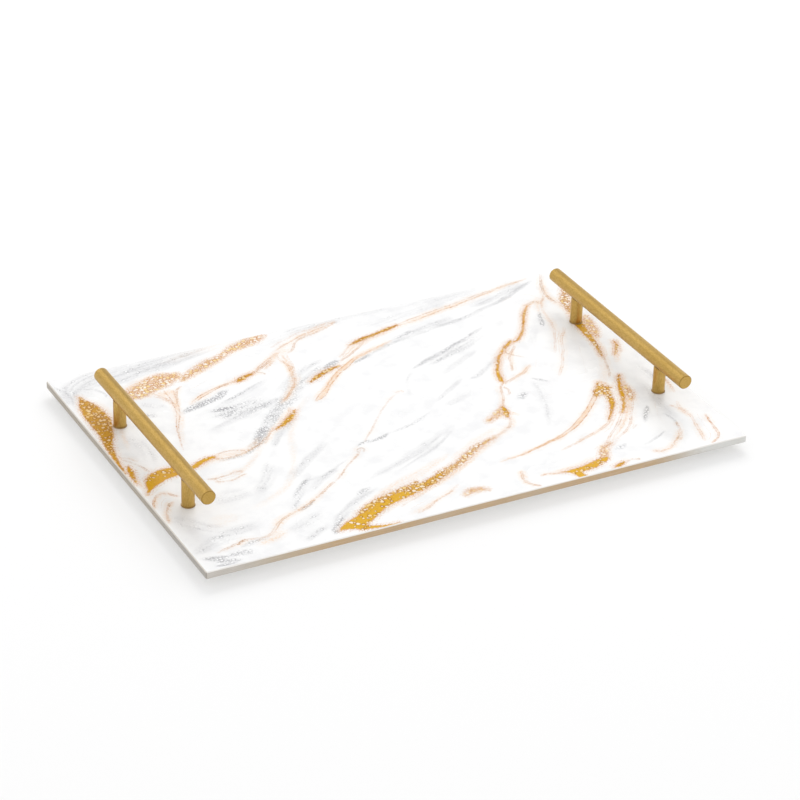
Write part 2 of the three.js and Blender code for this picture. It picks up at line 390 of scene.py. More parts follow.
# %% The threads: (tone from 0 orange to 1 taupe, strength, half width, points)
THREADS = [
    # rear left: the stem that hangs from the upper band, and its branches
    (0.25, 0.75, 1.6, [(-146, 100, 4), (-148, 93, 3.2), (-150, 84, 2.4), (-152, 75, 2.0), (-155, 65, 1.6),
                       (-160, 53, 1.2), (-165, 40, 0.9), (-170, 25, 0.6), (-174, 10, 0.4)]),
    (0.25, 0.6, 0.8, [(-160, 99), (-156, 91), (-153, 82), (-153, 72)]),
    (0.3, 0.6, 0.8, [(-135, 101), (-141, 96), (-146, 87), (-150, 76)]),
    (0.9, 0.4, 0.6, [(-137, 107), (-128, 110), (-120, 116)]),
    (0.3, 0.4, 0.8, [(-168, 97), (-160, 94), (-156, 86), (-154, 78)]),
    # the tan line under it, doubled towards its right end
    (0.45, 1.0, 1.3, [(-142, 72, 0.5), (-136, 75, 1.4), (-128, 79, 1.8), (-118, 83, 1.5), (-108, 87, 1.1),
                      (-98, 90, 1.0), (-90, 91, 1.3), (-82, 94, 1.2), (-74, 98, 1.0), (-66, 102, 0.9),
                      (-58, 107, 1.0), (-50, 114, 0.9), (-44, 119, 0.6)]),
    (0.3, 0.45, 0.8, [(-72, 100), (-64, 106), (-57, 111), (-50, 116)]),
    (0.7, 0.5, 0.6, [(-74, 97), (-69, 95), (-67, 91)]),
    (0.3, 0.5, 0.9, [(-66, 98), (-58, 103), (-52, 109)]),
    # the ribbons that drop from the rear vein to the middle
    (0.35, 0.6, 1.0, [(-40, 121), (-46, 114), (-46, 106), (-45, 98), (-45.5, 90), (-47.5, 81), (-51, 72),
                       (-56, 63), (-63, 54), (-71, 45)]),
    (0.2, 0.42, 0.8, [(-41, 114), (-42, 103), (-43.5, 92), (-46, 82), (-50, 72), (-55, 65)]),
    (0.2, 0.42, 0.8, [(-37, 114), (-39.5, 104), (-42, 92), (-45.5, 80), (-50, 70), (-57, 61), (-66, 52),
                      (-76, 43)]),
    (0.4, 0.6, 0.9, [(-37, 114), (-31, 117), (-27, 122), (-23, 128), (-17, 132), (-9, 134.5), (0, 137),
                     (9, 139.5), (17, 143), (22, 149)]),
    (0.4, 0.45, 0.7, [(-44, 122), (-36, 127), (-26, 131), (-14, 136), (-2, 140), (10, 143), (24, 147)]),
    (0.3, 0.4, 0.8, [(-46, 128), (-34, 134), (-18, 140), (0, 144), (20, 149)]),
    # the rear vein's pale tail towards the rear right corner
    (0.5, 0.75, 1.4, [(60, 118, 1.0), (70, 120.5, 2.0), (85, 124, 2.2), (100, 127, 2.2), (115, 130, 2.0),
                      (134, 134, 1.6), (150, 137.5, 1.4), (170, 142.5, 1.2), (190, 146, 1.0),
                      (205, 148.5, 0.7)]),
    # the orange line through the middle
    (0.1, 1.0, 2.0, [(-51, 35, 0.6), (-46, 38.5, 2.0), (-41, 42, 2.8), (-35, 47, 2.0), (-29, 53, 1.4),
                     (-22, 60.5, 1.5), (-16, 66, 1.7), (-9, 71.5, 2.0), (-2, 77, 2.0), (5, 82, 1.4),
                     (13, 86, 0.9)]),
    (0.3, 0.5, 0.9, [(8, 85), (20, 89), (34, 93), (50, 98)]),
    (0.3, 0.6, 0.8, [(30, 108), (24, 103), (19, 98), (13, 94), (6, 90), (-1, 86.5), (-7, 82)]),
    (0.3, 0.45, 0.8, [(16, 106), (10, 101), (4, 95), (-3, 90)]),
    (0.3, 0.5, 0.8, [(-115, -8), (-105, 4), (-97, 11)]),
    (0.65, 0.6, 0.8, [(-159, -11), (-149, -14), (-138, -13.5), (-128, -11), (-118, -6.5), (-109, 2)]),
    (0.35, 0.5, 0.7, [(-154, -6), (-146, -5), (-138, -7), (-130, -11)]),
    (0.25, 0.5, 0.9, [(-97, 9), (-90, 14), (-83, 20), (-77, 27), (-73, 35)]),
    # the loop on the right, its rise to the rear corner and its tail
    (0.15, 0.85, 1.0, [(98, 0), (99, 6, 1.4), (102, 15, 1.3), (106, 24), (112, 33), (118, 40),
                       (126, 47.5),
                       (132, 52), (138, 57)]),
    (0.2, 0.75, 1.0, [(136, 52), (141, 55), (146, 58.5), (151, 64.5), (156, 71), (161, 78), (166, 86),
                      (171, 94), (176, 101), (181, 106.5)]),
    (0.7, 0.95, 1.3, [(178, 104), (183, 108.5), (188, 109), (193, 106)]),
    (0.25, 0.7, 0.9, [(138, 52), (134, 46), (128, 40.5), (123, 34), (120, 27), (117, 20), (113, 12)]),
    (0.25, 0.75, 1.0, [(97, 1), (103, -0.5), (109, 1.5), (115, 4), (121, 7), (127, 11.5), (133, 16)]),
    (0.25, 0.65, 0.9, [(98, 0), (94, -5), (91, -11), (89, -17), (86, -23), (83, -28), (79, -34)]),
    (0.3, 0.5, 0.8, [(95, -6), (97, -12), (95, -18), (91, -20)]),
    (0.35, 0.6, 0.9, [(76, -49), (73.5, -56), (69, -62), (62, -67), (54, -71), (44, -74)]),
    # the long arcs
    (0.1, 0.95, 1.0, [(36, -107, 0.3), (50, -105.3, 0.5), (62, -103.3, 0.7), (75, -100.3, 0.9),
                      (86, -96.6, 1.0), (97, -92.8, 1.3), (106, -89, 1.6), (114, -84.6, 1.9),
                      (122, -79, 2.1),
                      (130, -73, 2.1), (138, -66, 1.9), (145, -59, 1.9), (151, -53, 1.9),
                      (158, -46, 1.2)]),
    (0.2, 0.55, 1.0, [(190, -26), (185, -35, 1.8), (181, -43, 1.8), (177.3, -51, 2.0), (174, -58, 1.8),
                     (170.5, -65, 1.5), (166, -73, 1.3), (161, -80, 1.2), (155, -87, 1.2),
                     (148, -93.6, 1.1),
                     (140, -101, 1.0), (131, -109, 1.0), (124, -116, 1.2)]),
    (0.15, 0.5, 1.0, [(164, -57, 1.8), (160.5, -65, 1.8), (156, -73, 1.4), (150.5, -80, 1.2),
                      (144.5, -87, 1.1),
                      (138, -92.3, 1.0), (130, -96.6), (120, -101), (110, -104.7), (98, -108.4),
                      (86, -112)]),
    (0.2, 0.5, 0.9, [(187, -40), (184.5, -48), (182, -56), (179, -63), (175, -71), (170, -79), (165, -86),
                     (160, -93), (154, -100.5), (147, -107), (139, -112), (131, -117)]),
    (0.15, 0.55, 0.8, [(166, -30), (170, -33), (172, -38), (171, -44)]),
    # lines at the front edge
    (0.65, 0.65, 0.8, [(123, -147.5), (129, -146), (135, -148.5)]),
    (0.35, 0.8, 1.0, [(48, -150.5), (43, -146.5), (40.5, -142), (38, -137.5)]),
    (0.2, 0.6, 1.0, [(42, -143), (40, -136), (42, -130), (44, -124)]),
    (0.1, 0.6, 0.9, [(73, -141), (66, -140), (60, -137), (54, -137.5)]),
    (0.25, 0.45, 0.8, [(-55, -146), (-45, -142), (-35, -136), (-25, -132), (-15, -127), (-8, -122)]),
    (0.25, 0.35, 0.8, [(-62, -133), (-52, -128), (-42, -124), (-34, -119)]),
    (0.85, 0.75, 0.7, [(-56, -48.5), (-54.5, -44.5), (-50.5, -43.5), (-49, -47), (-52, -49.5)]),
    # the long diagonal from the front left corner to the middle
    (0.55, 0.6, 0.9, [(-211, -133, 0.4), (-205, -130.5), (-198, -128), (-192, -126.5, 1.4),
                      (-186, -126, 1.1),
                      (-178, -127), (-170, -126.5), (-162, -123, 1.2), (-157, -118, 1.3), (-151, -112.5),
                      (-145, -109), (-137, -106)]),
    (0.7, 0.75, 0.8, [(-194, -129), (-189.5, -126), (-184.5, -124.5)]),
    (0.3, 0.55, 0.9, [(-138, -106), (-129, -103), (-119.5, -98.5), (-110, -93), (-100, -86.5),
                      (-90, -79)]),
    (0.35, 0.55, 0.7, [(-90, -79), (-80, -70.5), (-70, -62), (-60, -53.5), (-51, -44)]),
    (0.35, 0.35, 0.7, [(-46, -39), (-38, -30), (-29, -21), (-20, -10.5), (-10, 0), (0, 9.5), (8, 16.5),
                       (16, 21)]),
    (0.55, 0.4, 0.7, [(12, 21), (17, 22.5), (20, 19.5)]),
    # around the left bar
    (0.5, 0.7, 0.8, [(-176, -37), (-169, -38.6), (-161, -38), (-154, -36), (-146, -36)]),
    (0.35, 0.45, 0.7, [(-172, -43), (-165, -45), (-159, -46), (-152, -43), (-145, -40.5)]),
    (0.4, 0.7, 0.9, [(-228, -60), (-225.5, -52), (-222, -46), (-217, -41.6), (-211, -42.5), (-206.5, -47),
                     (-203, -52)]),
    (0.3, 0.6, 0.8, [(-226, -83), (-224.5, -74), (-221, -66), (-216, -59), (-210, -55)]),
    (0.95, 0.85, 0.8, [(-217, -61), (-215, -58.5), (-213, -56)]),
    (0.35, 0.65, 0.9, [(-224, -38), (-220, -33), (-217, -27), (-215, -20)]),
    (0.85, 0.6, 0.8, [(-221, 17), (-216.5, 9), (-212.5, 0), (-210.5, -9)]),
    (0.6, 0.4, 0.8, [(-223, 20), (-217, 16), (-212, 8)]),
    # the rear right corner and the right edge
    (0.7, 0.85, 1.0, [(219, 150), (214, 140), (208.5, 130), (204.5, 120), (203.5, 110), (205.5, 99)]),
    (0.45, 0.5, 0.8, [(203, 118), (198, 110), (193.5, 105), (190, 97)]),
    (0.15, 0.4, 1.1, [(190, 60), (183, 50), (177, 42), (171.5, 32), (166, 22), (160, 12), (152, 0),
                      (144, -10)]),
    (0.1, 0.35, 0.9, [(189, 96), (186, 84), (183.5, 72), (180, 60), (174, 48), (167, 36), (160, 25)]),
    (0.75, 0.65, 0.9, [(199, 26), (196, 16), (192.5, 5), (190, -4), (187, -13), (183.5, -22),
                       (180, -29)]),
    (0.3, 0.5, 1.0, [(213, 22), (209, 14), (205, 8), (202, 2)]),
    (0.3, 0.5, 0.9, [(218, 24), (214, 12), (209, 3)]),
    (0.1, 0.8, 0.8, [(218, -110), (216, -118), (213.6, -127), (211, -136, 1.1), (208, -143), (203, -148),
                     (197, -151)]),
    (0.2, 0.6, 1.1, [(209, -84), (205, -92), (204, -100), (206, -108), (203.5, -117), (200.5, -127),
                     (198, -137), (195, -146)]),
    (0.25, 0.5, 0.8, [(200, -86), (203.5, -94), (207, -101)]),
    (0.25, 0.6, 0.8, [(218, -48), (216.5, -60), (214.5, -72)]),
    (0.2, 0.55, 0.8, [(150, -142), (157, -145), (165, -143), (173, -137), (180, -130), (185, -121)]),
    (0.2, 0.45, 0.8, [(190, -110), (187, -120), (183, -130), (178, -138)]),
    (0.95, 0.75, 0.7, [(181, -130), (179, -132.5), (177, -134.5)]),
    (0.95, 0.5, 0.6, [(160, -101), (157, -104), (153, -107)]),
    (0.6, 0.6, 0.6, [(134, 30), (128, 36), (124, 42), (127, 47)]),
]
print("threads:", len(THREADS))

# %% [markdown]
# The washes are thin paint that spread out: peach beside the gold, grey in long bands through the white.
# They have soft rims, and a stroke's half width says how far the paint reached.

# %% The peach washes: (strength, points with the reach)
PEACH = [
    (0.14, [(-132, 142, 8), (-100, 147, 9), (-66, 149, 8)]),
    (0.55, [(-190, 106, 8), (-176, 113, 9), (-160, 119, 10), (-144, 121, 9), (-132, 118, 8)]),
    (0.4, [(-128, 108, 6), (-112, 117, 7), (-98, 124, 7), (-84, 131, 6), (-66, 139, 7), (-46, 146, 6)]),
    (0.5, [(-158, 96, 6), (-150, 94, 8), (-142, 96, 6)]),
    (0.4, [(-150, 86, 6), (-153, 72, 5), (-158, 55, 5), (-164, 38, 4), (-171, 18, 3)]),
    (0.35, [(-142, 74, 4), (-124, 81, 5), (-106, 88, 5), (-88, 93, 5), (-70, 101, 5)]),
    (0.45, [(-60, 106, 5), (-50, 112, 7), (-42, 118, 8), (-32, 122, 7)]),
    (0.4, [(-45, 110, 5), (-45, 96, 5), (-47, 82, 5), (-53, 68, 6), (-63, 55, 6), (-74, 44, 5)]),
    (0.3, [(-40, 124, 6), (-24, 131, 6), (-6, 138, 6), (14, 145, 6)]),
    (0.8, [(-48, 37, 5), (-40, 43, 6.5), (-30, 52, 5), (-16, 66, 5), (-2, 78, 5), (10, 85, 5),
           (26, 91, 5),
           (46, 97, 5)]),
    (0.35, [(2, 92, 6), (12, 98, 7), (24, 105, 7), (40, 111, 7), (60, 116, 6), (84, 122, 7),
            (110, 128, 7),
            (136, 133, 7), (160, 139, 7)]),
    (0.25, [(150, 137, 5), (178, 143, 5), (206, 148, 4)]),
    (0.55, [(-172, -18, 6), (-160, -12, 8), (-150, -11, 8), (-138, -12, 6), (-126, -8, 5), (-116, 2, 4)]),
    (0.3, [(-158, -37, 4), (-146, -35, 4.5), (-135, -27, 4.5), (-125, -18, 4.5), (-117, -10, 4)]),
    (0.3, [(-115, -8, 4), (-103, 5, 5), (-92, 14, 6), (-80, 26, 5), (-72, 36, 4)]),
    (0.2, [(-160, -88, 5), (-146, -82, 5), (-132, -75, 5), (-121, -66, 5), (-113, -54, 5), (-105, -40, 5),
           (-98, -24, 5), (-92, -8, 5), (-85, 6, 5), (-77, 19, 5), (-66, 32, 5), (-54, 43, 5)]),
    (0.45, [(-178, -134, 7), (-166, -131, 9), (-154, -126, 7)]),
    (0.2, [(-198, -98, 9), (-188, -94, 11), (-176, -96, 8)]),
    (0.35, [(-160, -121, 6), (-154, -114, 7), (-146, -109, 6), (-134, -105, 5), (-118, -98, 5),
            (-102, -88, 4)]),
    (0.3, [(-228, -60, 4), (-222, -47, 5), (-214, -41, 5), (-206, -47, 4)]),
    (0.3, [(-227, -84, 4), (-224, -72, 5), (-217, -60, 5), (-208, -54, 4)]),
    (0.25, [(-190, -48, 10), (-180, -47, 8)]),
    (0.5, [(-226, 18, 3), (-225.5, 0, 4), (-224, -16, 4), (-222, -30, 4)]),
    (0.3, [(-206, 104, 6), (-203, 88, 6), (-204, 70, 5), (-207, 50, 4), (-212, 28, 3)]),
    (0.35, [(-214, -20, 9), (-200, -15, 11), (-184, -15, 9)]),
    (0.45, [(-88, -123, 6), (-70, -113, 6), (-56, -105, 7), (-42, -101, 8), (-28, -96, 8), (-14, -90, 6),
            (4, -80, 4)]),
    (0.45, [(-78, -133, 4), (-60, -127, 4), (-40, -120, 4), (-20, -114, 5), (-4, -106, 5), (14, -96, 5),
            (30, -86, 5), (46, -77, 5), (60, -71, 4)]),
    (0.3, [(0, -90, 4), (16, -82, 5), (32, -72, 5), (48, -66, 5), (62, -60, 4)]),
    (0.35, [(-12, -138, 4), (-4, -136, 7), (5, -137, 4)]),
    (0.25, [(-60, -144, 4), (-44, -139, 5), (-28, -132, 5), (-12, -125, 4)]),
    (0.5, [(41, -136, 4), (42, -130, 5), (44, -124, 4)]),
    (0.45, [(86, -52, 3), (80, -46, 4), (74, -46, 6), (64, -46, 5), (56, -50, 3)]),
    (0.35, [(78, -52, 4), (72, -60, 6), (62, -67, 6), (52, -72, 4)]),
    (0.4, [(100, 2, 4), (103, 14, 4.5), (110, 28, 4.5), (122, 43, 4.5), (136, 54, 5), (148, 61, 4.5),
           (158, 74, 5), (168, 90, 6), (178, 104, 6)]),
    (0.3, [(128, 44, 5), (124, 34, 5), (120, 22, 4)]),
    (0.35, [(106, 0, 3), (120, 7, 4), (132, 15, 4)]),
    (0.25, [(90, -4, 5), (88, -16, 5), (82, -28, 5), (76, -38, 5)]),
    (0.4, [(196, 116, 8), (190, 104, 8), (184, 92, 6)]),
    (0.6, [(179, 105, 4), (187, 109, 6), (195, 106, 5)]),
    (0.4, [(219, 150, 4), (212, 136, 6), (205, 120, 6), (205, 100, 6), (209, 84, 8)]),
    (0.4, [(214, 104, 7), (210, 88, 8), (206, 72, 8), (206, 56, 8), (204, 40, 7), (201, 26, 6),
           (196, 10, 5),
           (190, -6, 4)]),
    (0.25, [(200, 20, 5), (194, 6, 7), (186, -10, 8), (178, -24, 8), (172, -34, 6)]),
    (0.4, [(218, 24, 5), (211, 14, 6), (204, 2, 6), (198, -10, 5)]),
    (0.18, [(190, 60, 5), (177, 42, 6), (166, 22, 6), (152, 0, 6), (144, -10, 5)]),
    (0.2, [(186, 92, 6), (184, 72, 7), (178, 54, 6)]),
    (0.55, [(160, -50, 7), (166, -40, 9), (168, -30, 6)]),
    (0.7, [(36, -107, 1.5), (62, -103, 2.5), (86, -96.5, 3), (106, -89, 3.5), (122, -79, 4),
           (138, -66, 4),
           (152, -53, 4)]),
    (0.45, [(192, -28, 4), (186, -38, 6), (182, -50, 7), (177, -62, 6), (170, -74, 5), (160, -87, 4),
            (148, -99, 4), (134, -112, 4)]),
    (0.35, [(163, -58, 5), (158, -70, 4.5), (149, -83, 4), (138, -93, 3.5), (122, -101, 3),
            (100, -108, 3)]),
    (0.35, [(138, -112, 5), (126, -119, 6), (118, -127, 6), (110, -135, 5)]),
    (0.3, [(60, -140, 4), (84, -136, 6), (104, -131, 6)]),
    (0.4, [(203, -92, 5), (204, -100, 5), (206, -108, 4)]),
    (0.25, [(204, -116, 4), (200, -130, 4), (196, -144, 4)]),
    (0.25, [(148, -142, 5), (160, -144, 6), (174, -137, 6), (184, -124, 5)]),
    (0.25, [(218, -50, 4), (215, -66, 4)]),
]
print("peach washes:", len(PEACH))

# %% [markdown]
# The grey runs in long bands beside the gold, and part of it is celled too. So a grey stroke also has
# a share of cells.

# %% The grey washes: (strength, share of cells, points with the reach)
GREY = [
    # under the tan line, and the haze below it
    (0.6, 0.9, [(-152, 62, 3), (-142, 66, 5), (-131, 69, 5.5), (-120, 71, 5), (-112, 76, 5),
                (-104, 81, 3)]),
    (0.7, 0.9, [(-130, 55, 2), (-120, 54, 3.5), (-111, 53, 2.5)]),
    (0.45, 0.9, [(-126, 41, 2), (-119, 45, 3), (-112, 50, 2)]),
    (0.3, 0.5, [(-134, 50, 10), (-116, 48, 16), (-98, 50, 16), (-84, 54, 12)]),
    (0.3, 0.3, [(-143, 28, 3), (-124, 34, 4), (-104, 42, 5), (-84, 48, 5), (-68, 53, 4)]),
    (0.4, 0.3, [(-120, 62, 3), (-100, 68, 4), (-84, 76, 4), (-68, 84, 3)]),
    # the main celled band through the middle
    (0.5, 0.7, [(-134, -16, 3), (-126, -10, 5), (-118, -2, 7)]),
    (0.45, 0.8, [(-156, -15, 1.5), (-146, -16, 2.5), (-136, -15, 3)]),
    (0.85, 1.0, [(-122, -7, 3.5), (-116, -1, 6), (-109, 8, 6.5), (-102, 15, 5)]),
    (0.45, 0.7, [(-104, 14, 6), (-96, 22, 7), (-88, 30, 7), (-78, 39, 8), (-66, 48, 9), (-56, 57, 8)]),
    (0.5, 0.4, [(-60, 55, 7), (-48, 63, 7), (-37, 70, 6.5), (-26, 77, 6), (-16, 82, 6), (-6, 88, 5)]),
    (0.6, 0.9, [(-22, 78, 3), (-14, 82, 4.5), (-6, 86, 3)]),
    (0.4, 0.2, [(-110, -14, 4), (-100, -2, 5), (-90, 8, 5), (-78, 20, 5)]),
    (0.35, 0.2, [(-70, 60, 6), (-56, 70, 7), (-44, 80, 6), (-30, 88, 5), (-14, 94, 4)]),
    (0.7, 0.3, [(2, 78, 2), (8, 80, 3.5), (16, 82, 4), (25, 86, 3.5)]),
    (0.45, 0.2, [(22, 85, 3), (36, 90, 3.5), (52, 95, 3.5), (70, 99, 3.5), (90, 103, 3.5)]),
    (0.35, 0.2, [(50, 99, 4), (70, 104, 5), (92, 109, 5), (114, 112, 4)]),
    (0.45, 0.1, [(88, 103, 3), (110, 107, 3.5), (130, 111, 3.5), (150, 117, 4)]),
    (0.7, 0.1, [(146, 116, 2), (160, 120.5, 2.8), (174, 126.5, 3), (190, 135, 2.6), (206, 143, 2)]),
    (0.42, 0.1, [(140, 124, 5), (166, 132, 6), (196, 143, 5)]),
    # right of the middle
    (0.6, 0.3, [(43, 50, 1), (50, 52.5, 2.6), (60, 57, 3.4), (72, 61, 3.4), (84, 66.5, 3.4), (96, 73, 3),
                (108, 77, 2.6), (120, 84, 2.4), (130, 90, 1.2)]),
    (0.35, 0.4, [(58, 50, 4), (80, 58, 6), (104, 68, 6), (124, 78, 4)]),
    (0.4, 0.2, [(76, 15, 1.5), (88, 20, 3.5), (98, 27, 3.2), (108, 34, 2.6), (118, 42, 1.5)]),
    (0.3, 0.1, [(36, -5, 2), (48, 3, 3), (60, 10.5, 3), (72, 19, 2)]),
    (0.2, 0.1, [(20, 10, 2), (26, 24, 2.5), (33, 37, 2.5), (42, 47, 2)]),
    (0.25, 0.1, [(60, 32, 3), (74, 40, 4), (90, 48, 4), (104, 56, 3)]),
    (0.14, 0.2, [(150, 46, 8), (158, 58, 8), (166, 70, 8)]),
    (0.55, 0.8, [(184, 92, 2), (180, 84, 4), (177, 75, 4), (174, 67, 2)]),
    (0.03, 0.3, [(180, 62, 7), (184, 48, 8), (186, 30, 8), (183, 12, 8), (178, -4, 6)]),
    (0.25, 0.4, [(122, -6, 3), (120, -20, 4), (116, -34, 4), (110, -48, 3), (103, -62, 3), (96, -74, 2)]),
    (0.35, 0.9, [(108, -22, 2), (102, -25, 5), (97, -30, 4)]),
    (0.45, 0.3, [(121, -2, 1), (127, -8, 2), (132, -14, 1.4)]),
    (0.2, 0.2, [(40, -14, 4), (56, -8, 5), (70, 0, 4)]),
    # the fan of lines in front of the middle
    (0.2, 0.1, [(-76, -92, 1.5), (-62, -86.5, 3), (-50, -81.5, 4), (-36, -76, 5), (-22, -70.5, 6),
                 (-8, -64, 7), (6, -58, 7), (20, -50.5, 6), (32, -43, 3)]),
    (0.35, 0.0, [(-58, -86, 1), (-42, -80, 1.8), (-26, -74, 2.0), (-10, -67, 2.0), (4, -59, 1.6),
                 (16, -51, 1)]),
    (0.3, 0.0, [(-40, -86, 1), (-26, -80, 1.6), (-12, -73, 2.2), (2, -66, 2.2), (16, -57, 1.6),
                (28, -48, 1)]),
    (0.55, 0.95, [(-52, -40, 1.6), (-44, -36.5, 2.4), (-36, -37.5, 2.8), (-28, -36, 2.6),
                  (-21, -32.5, 1.6)]),
    (0.22, 0.6, [(-20, -33, 1.8), (-8, -30.5, 2.6), (3, -28, 2.8), (13, -23, 2.6), (25, -16, 1.6)]),
    (0.35, 0.0, [(-110, -71, 1), (-99, -69.5, 1.8), (-88, -65, 2.0), (-78, -60, 1.6), (-66, -54, 1)]),
    (0.45, 0.5, [(-138, -104, 2), (-131, -97, 3.5), (-125, -88, 4), (-119, -80, 4), (-112, -73, 3.5),
                 (-104, -66, 2.5)]),
    (0.95, 0.9, [(-132, -106, 1), (-127, -103, 2.4), (-121, -100.5, 2.0), (-116, -97, 1)]),
    (0.4, 0.2, [(-112, -84, 3), (-102, -76, 4), (-92, -69, 4), (-80, -62, 3)]),
    (0.3, 0.1, [(-120, -62, 5), (-104, -50, 6), (-88, -38, 6), (-72, -26, 5)]),
    (0.3, 0.3, [(-150, -70, 6), (-138, -60, 7), (-130, -48, 7), (-124, -34, 5)]),
    (0.2, 0.4, [(-186, -66, 8), (-170, -66, 10), (-154, -66, 8)]),
    # the front left corner
    (0.2, 0.2, [(-223, -75, 5), (-216, -84, 9), (-206, -96, 10), (-194, -106, 8)]),
    (0.35, 0.2, [(-226, -128, 4), (-214, -122, 7), (-200, -115, 8), (-184, -112, 8), (-168, -108, 6)]),
    (0.6, 0.6, [(-224, -136, 2), (-215, -140, 5), (-208, -146, 5), (-200, -148, 4)]),
    (1.0, 0.2, [(-219, -147.5, 0.8), (-213, -149, 1.8), (-205, -149, 1.4), (-198, -148, 0.8)]),
    (0.7, 0.3, [(-220, -138, 1.2), (-213, -137.5, 2.2), (-206, -140, 1.6)]),
    (0.45, 0.6, [(-206, -140, 3), (-196, -140, 5), (-186, -142, 4)]),
    (0.4, 0.5, [(-194, -133, 2.5), (-180, -131, 4), (-168, -128, 3)]),
    (0.6, 0.8, [(-124, -145, 2.5), (-118, -139, 5.5), (-112, -132, 4.5), (-107, -126, 2)]),
    (0.3, 0.2, [(-146, -144, 4), (-136, -138, 5), (-124, -133, 5)]),
    (0.4, 0.2, [(-114, -130, 4), (-102, -121, 5), (-91, -112.5, 5), (-80, -107, 4), (-66, -102, 3)]),
    (0.4, 0.8, [(-84, -104, 1.5), (-78, -101, 3), (-70, -99, 2)]),
    (0.25, 0.2, [(-150, -128, 6), (-136, -122, 7), (-120, -114, 6)]),
    # the right side
    (0.2, 0.2, [(199, -44, 3), (198, -58, 6), (196, -74, 6.5), (194, -90, 6), (192, -104, 3)]),
    (0.3, 0.2, [(209, -20, 5), (212, -44, 6), (210, -66, 6)]),
    (0.5, 0.5, [(183, -80, 1.5), (178, -88, 3.5), (172, -95, 3), (168, -101, 1.5)]),
    (0.55, 0.1, [(174, -119, 0.8), (167, -123.5, 1.6), (158, -128, 1.8), (149, -131.5, 1.4)]),
    (0.35, 0.9, [(138, -124, 1.5), (131, -126, 4), (125, -127, 2)]),
    (0.4, 0.3, [(188, -95, 1), (190, -108, 1.6), (186, -120, 1.2)]),
    # the rear edge and the rear left corner
    (0.3, 0.1, [(-226, 100, 13), (-216, 122, 15), (-196, 136, 15), (-168, 140, 14), (-130, 144, 12),
                (-90, 148, 9)]),
    (0.1, 0.1, [(-224, 60, 10), (-204, 50, 14), (-198, 24, 14), (-206, 0, 12)]),
    (0.05, 0.2, [(-226, -60, 12), (-210, -84, 15), (-196, -110, 15), (-176, -126, 13)]),
    (0.2, 0.1, [(-30, 148, 9), (20, 150, 9), (90, 150, 10), (150, 151, 9)]),
    (0.2, 0.1, [(-46, 136, 6), (-10, 145, 7), (30, 147, 6)]),
    (0.22, 0.1, [(40, 128, 7), (80, 134, 8), (120, 140, 8), (160, 147, 7)]),
    (0.28, 0.2, [(-226, 118, 8), (-216, 130, 10), (-204, 140, 10), (-186, 146, 8)]),
    (0.36, 0.1, [(-190, 128, 8), (-160, 136, 10), (-128, 140, 8), (-96, 145, 6)]),
    (0.5, 0.0, [(-208, 128, 1), (-200, 124, 1.6), (-195, 116, 1.6), (-196, 108, 1)]),
    (0.55, 0.0, [(-226, 140, 1), (-222, 130, 1.6), (-221, 120, 1.6), (-224, 108, 1)]),
    (0.15, 0.3, [(-206, 46, 6), (-200, 30, 8), (-198, 14, 7), (-200, 2, 5)]),
    (0.35, 0.7, [(-186, 78, 4), (-178, 70, 5), (-170, 66, 4)]),
    (0.35, 0.3, [(-176, 88, 4), (-168, 82, 5), (-160, 76, 4)]),
]
print("grey washes:", len(GREY))

# %% [markdown]
# A stroke's own points are too coarse to follow, so a smooth curve is first drawn through them
# (a Catmull-Rom spline, which passes through every point). The half width is carried along, so a
# stroke can swell and taper.

# %% Smooth curves, in millimetres
SLIMMEST = 0.2


def smooth_path(points, half_width=1.0, steps=4):
    """A smooth curve through a stroke's points, as rows of x, y and half width."""
    rows = np.array([p if len(p) == 3 else (*p, half_width) for p in points], float)
    ends = np.vstack([2 * rows[0] - rows[1], rows, 2 * rows[-1] - rows[-2]])
    ends[:, 2] = np.maximum(ends[:, 2], SLIMMEST)
    parts = []
    for i in range(1, len(ends) - 2):
        a, b, c, d = ends[i - 1:i + 3]
        for t in np.arange(steps) / steps:
            parts.append(0.5 * (2 * b + (c - a) * t + (2 * a - 5 * b + 4 * c - d) * t ** 2
                                + (3 * b - a - 3 * c + d) * t ** 3))
    parts.append(rows[-1])
    return np.array(parts)


gold_paths = {name: smooth_path(points) for name, (_, _, points) in GOLD.items()}
thread_paths = [smooth_path(points, half_width) for _, _, half_width, points in THREADS]
peach_paths = [smooth_path(points, steps=3) for _, points in PEACH]
grey_paths = [smooth_path(points, steps=3) for _, _, points in GREY]
all_paths = [*gold_paths.values(), *thread_paths, *peach_paths, *grey_paths]
print("strokes:", len(all_paths), "points on their curves:", sum(len(path) for path in all_paths))

# %% [markdown]
# Distance is all that a stroke needs to become paint: near its line it is full, at its half width it
# ends. Only the places inside the stroke's own box are measured, which keeps this quick. Smooth
# noise from a lattice of random numbers makes the rims wander later.

# %% Distances and smooth noise, in millimetres
REACH = 14.0
WASH_REACH = 18.0


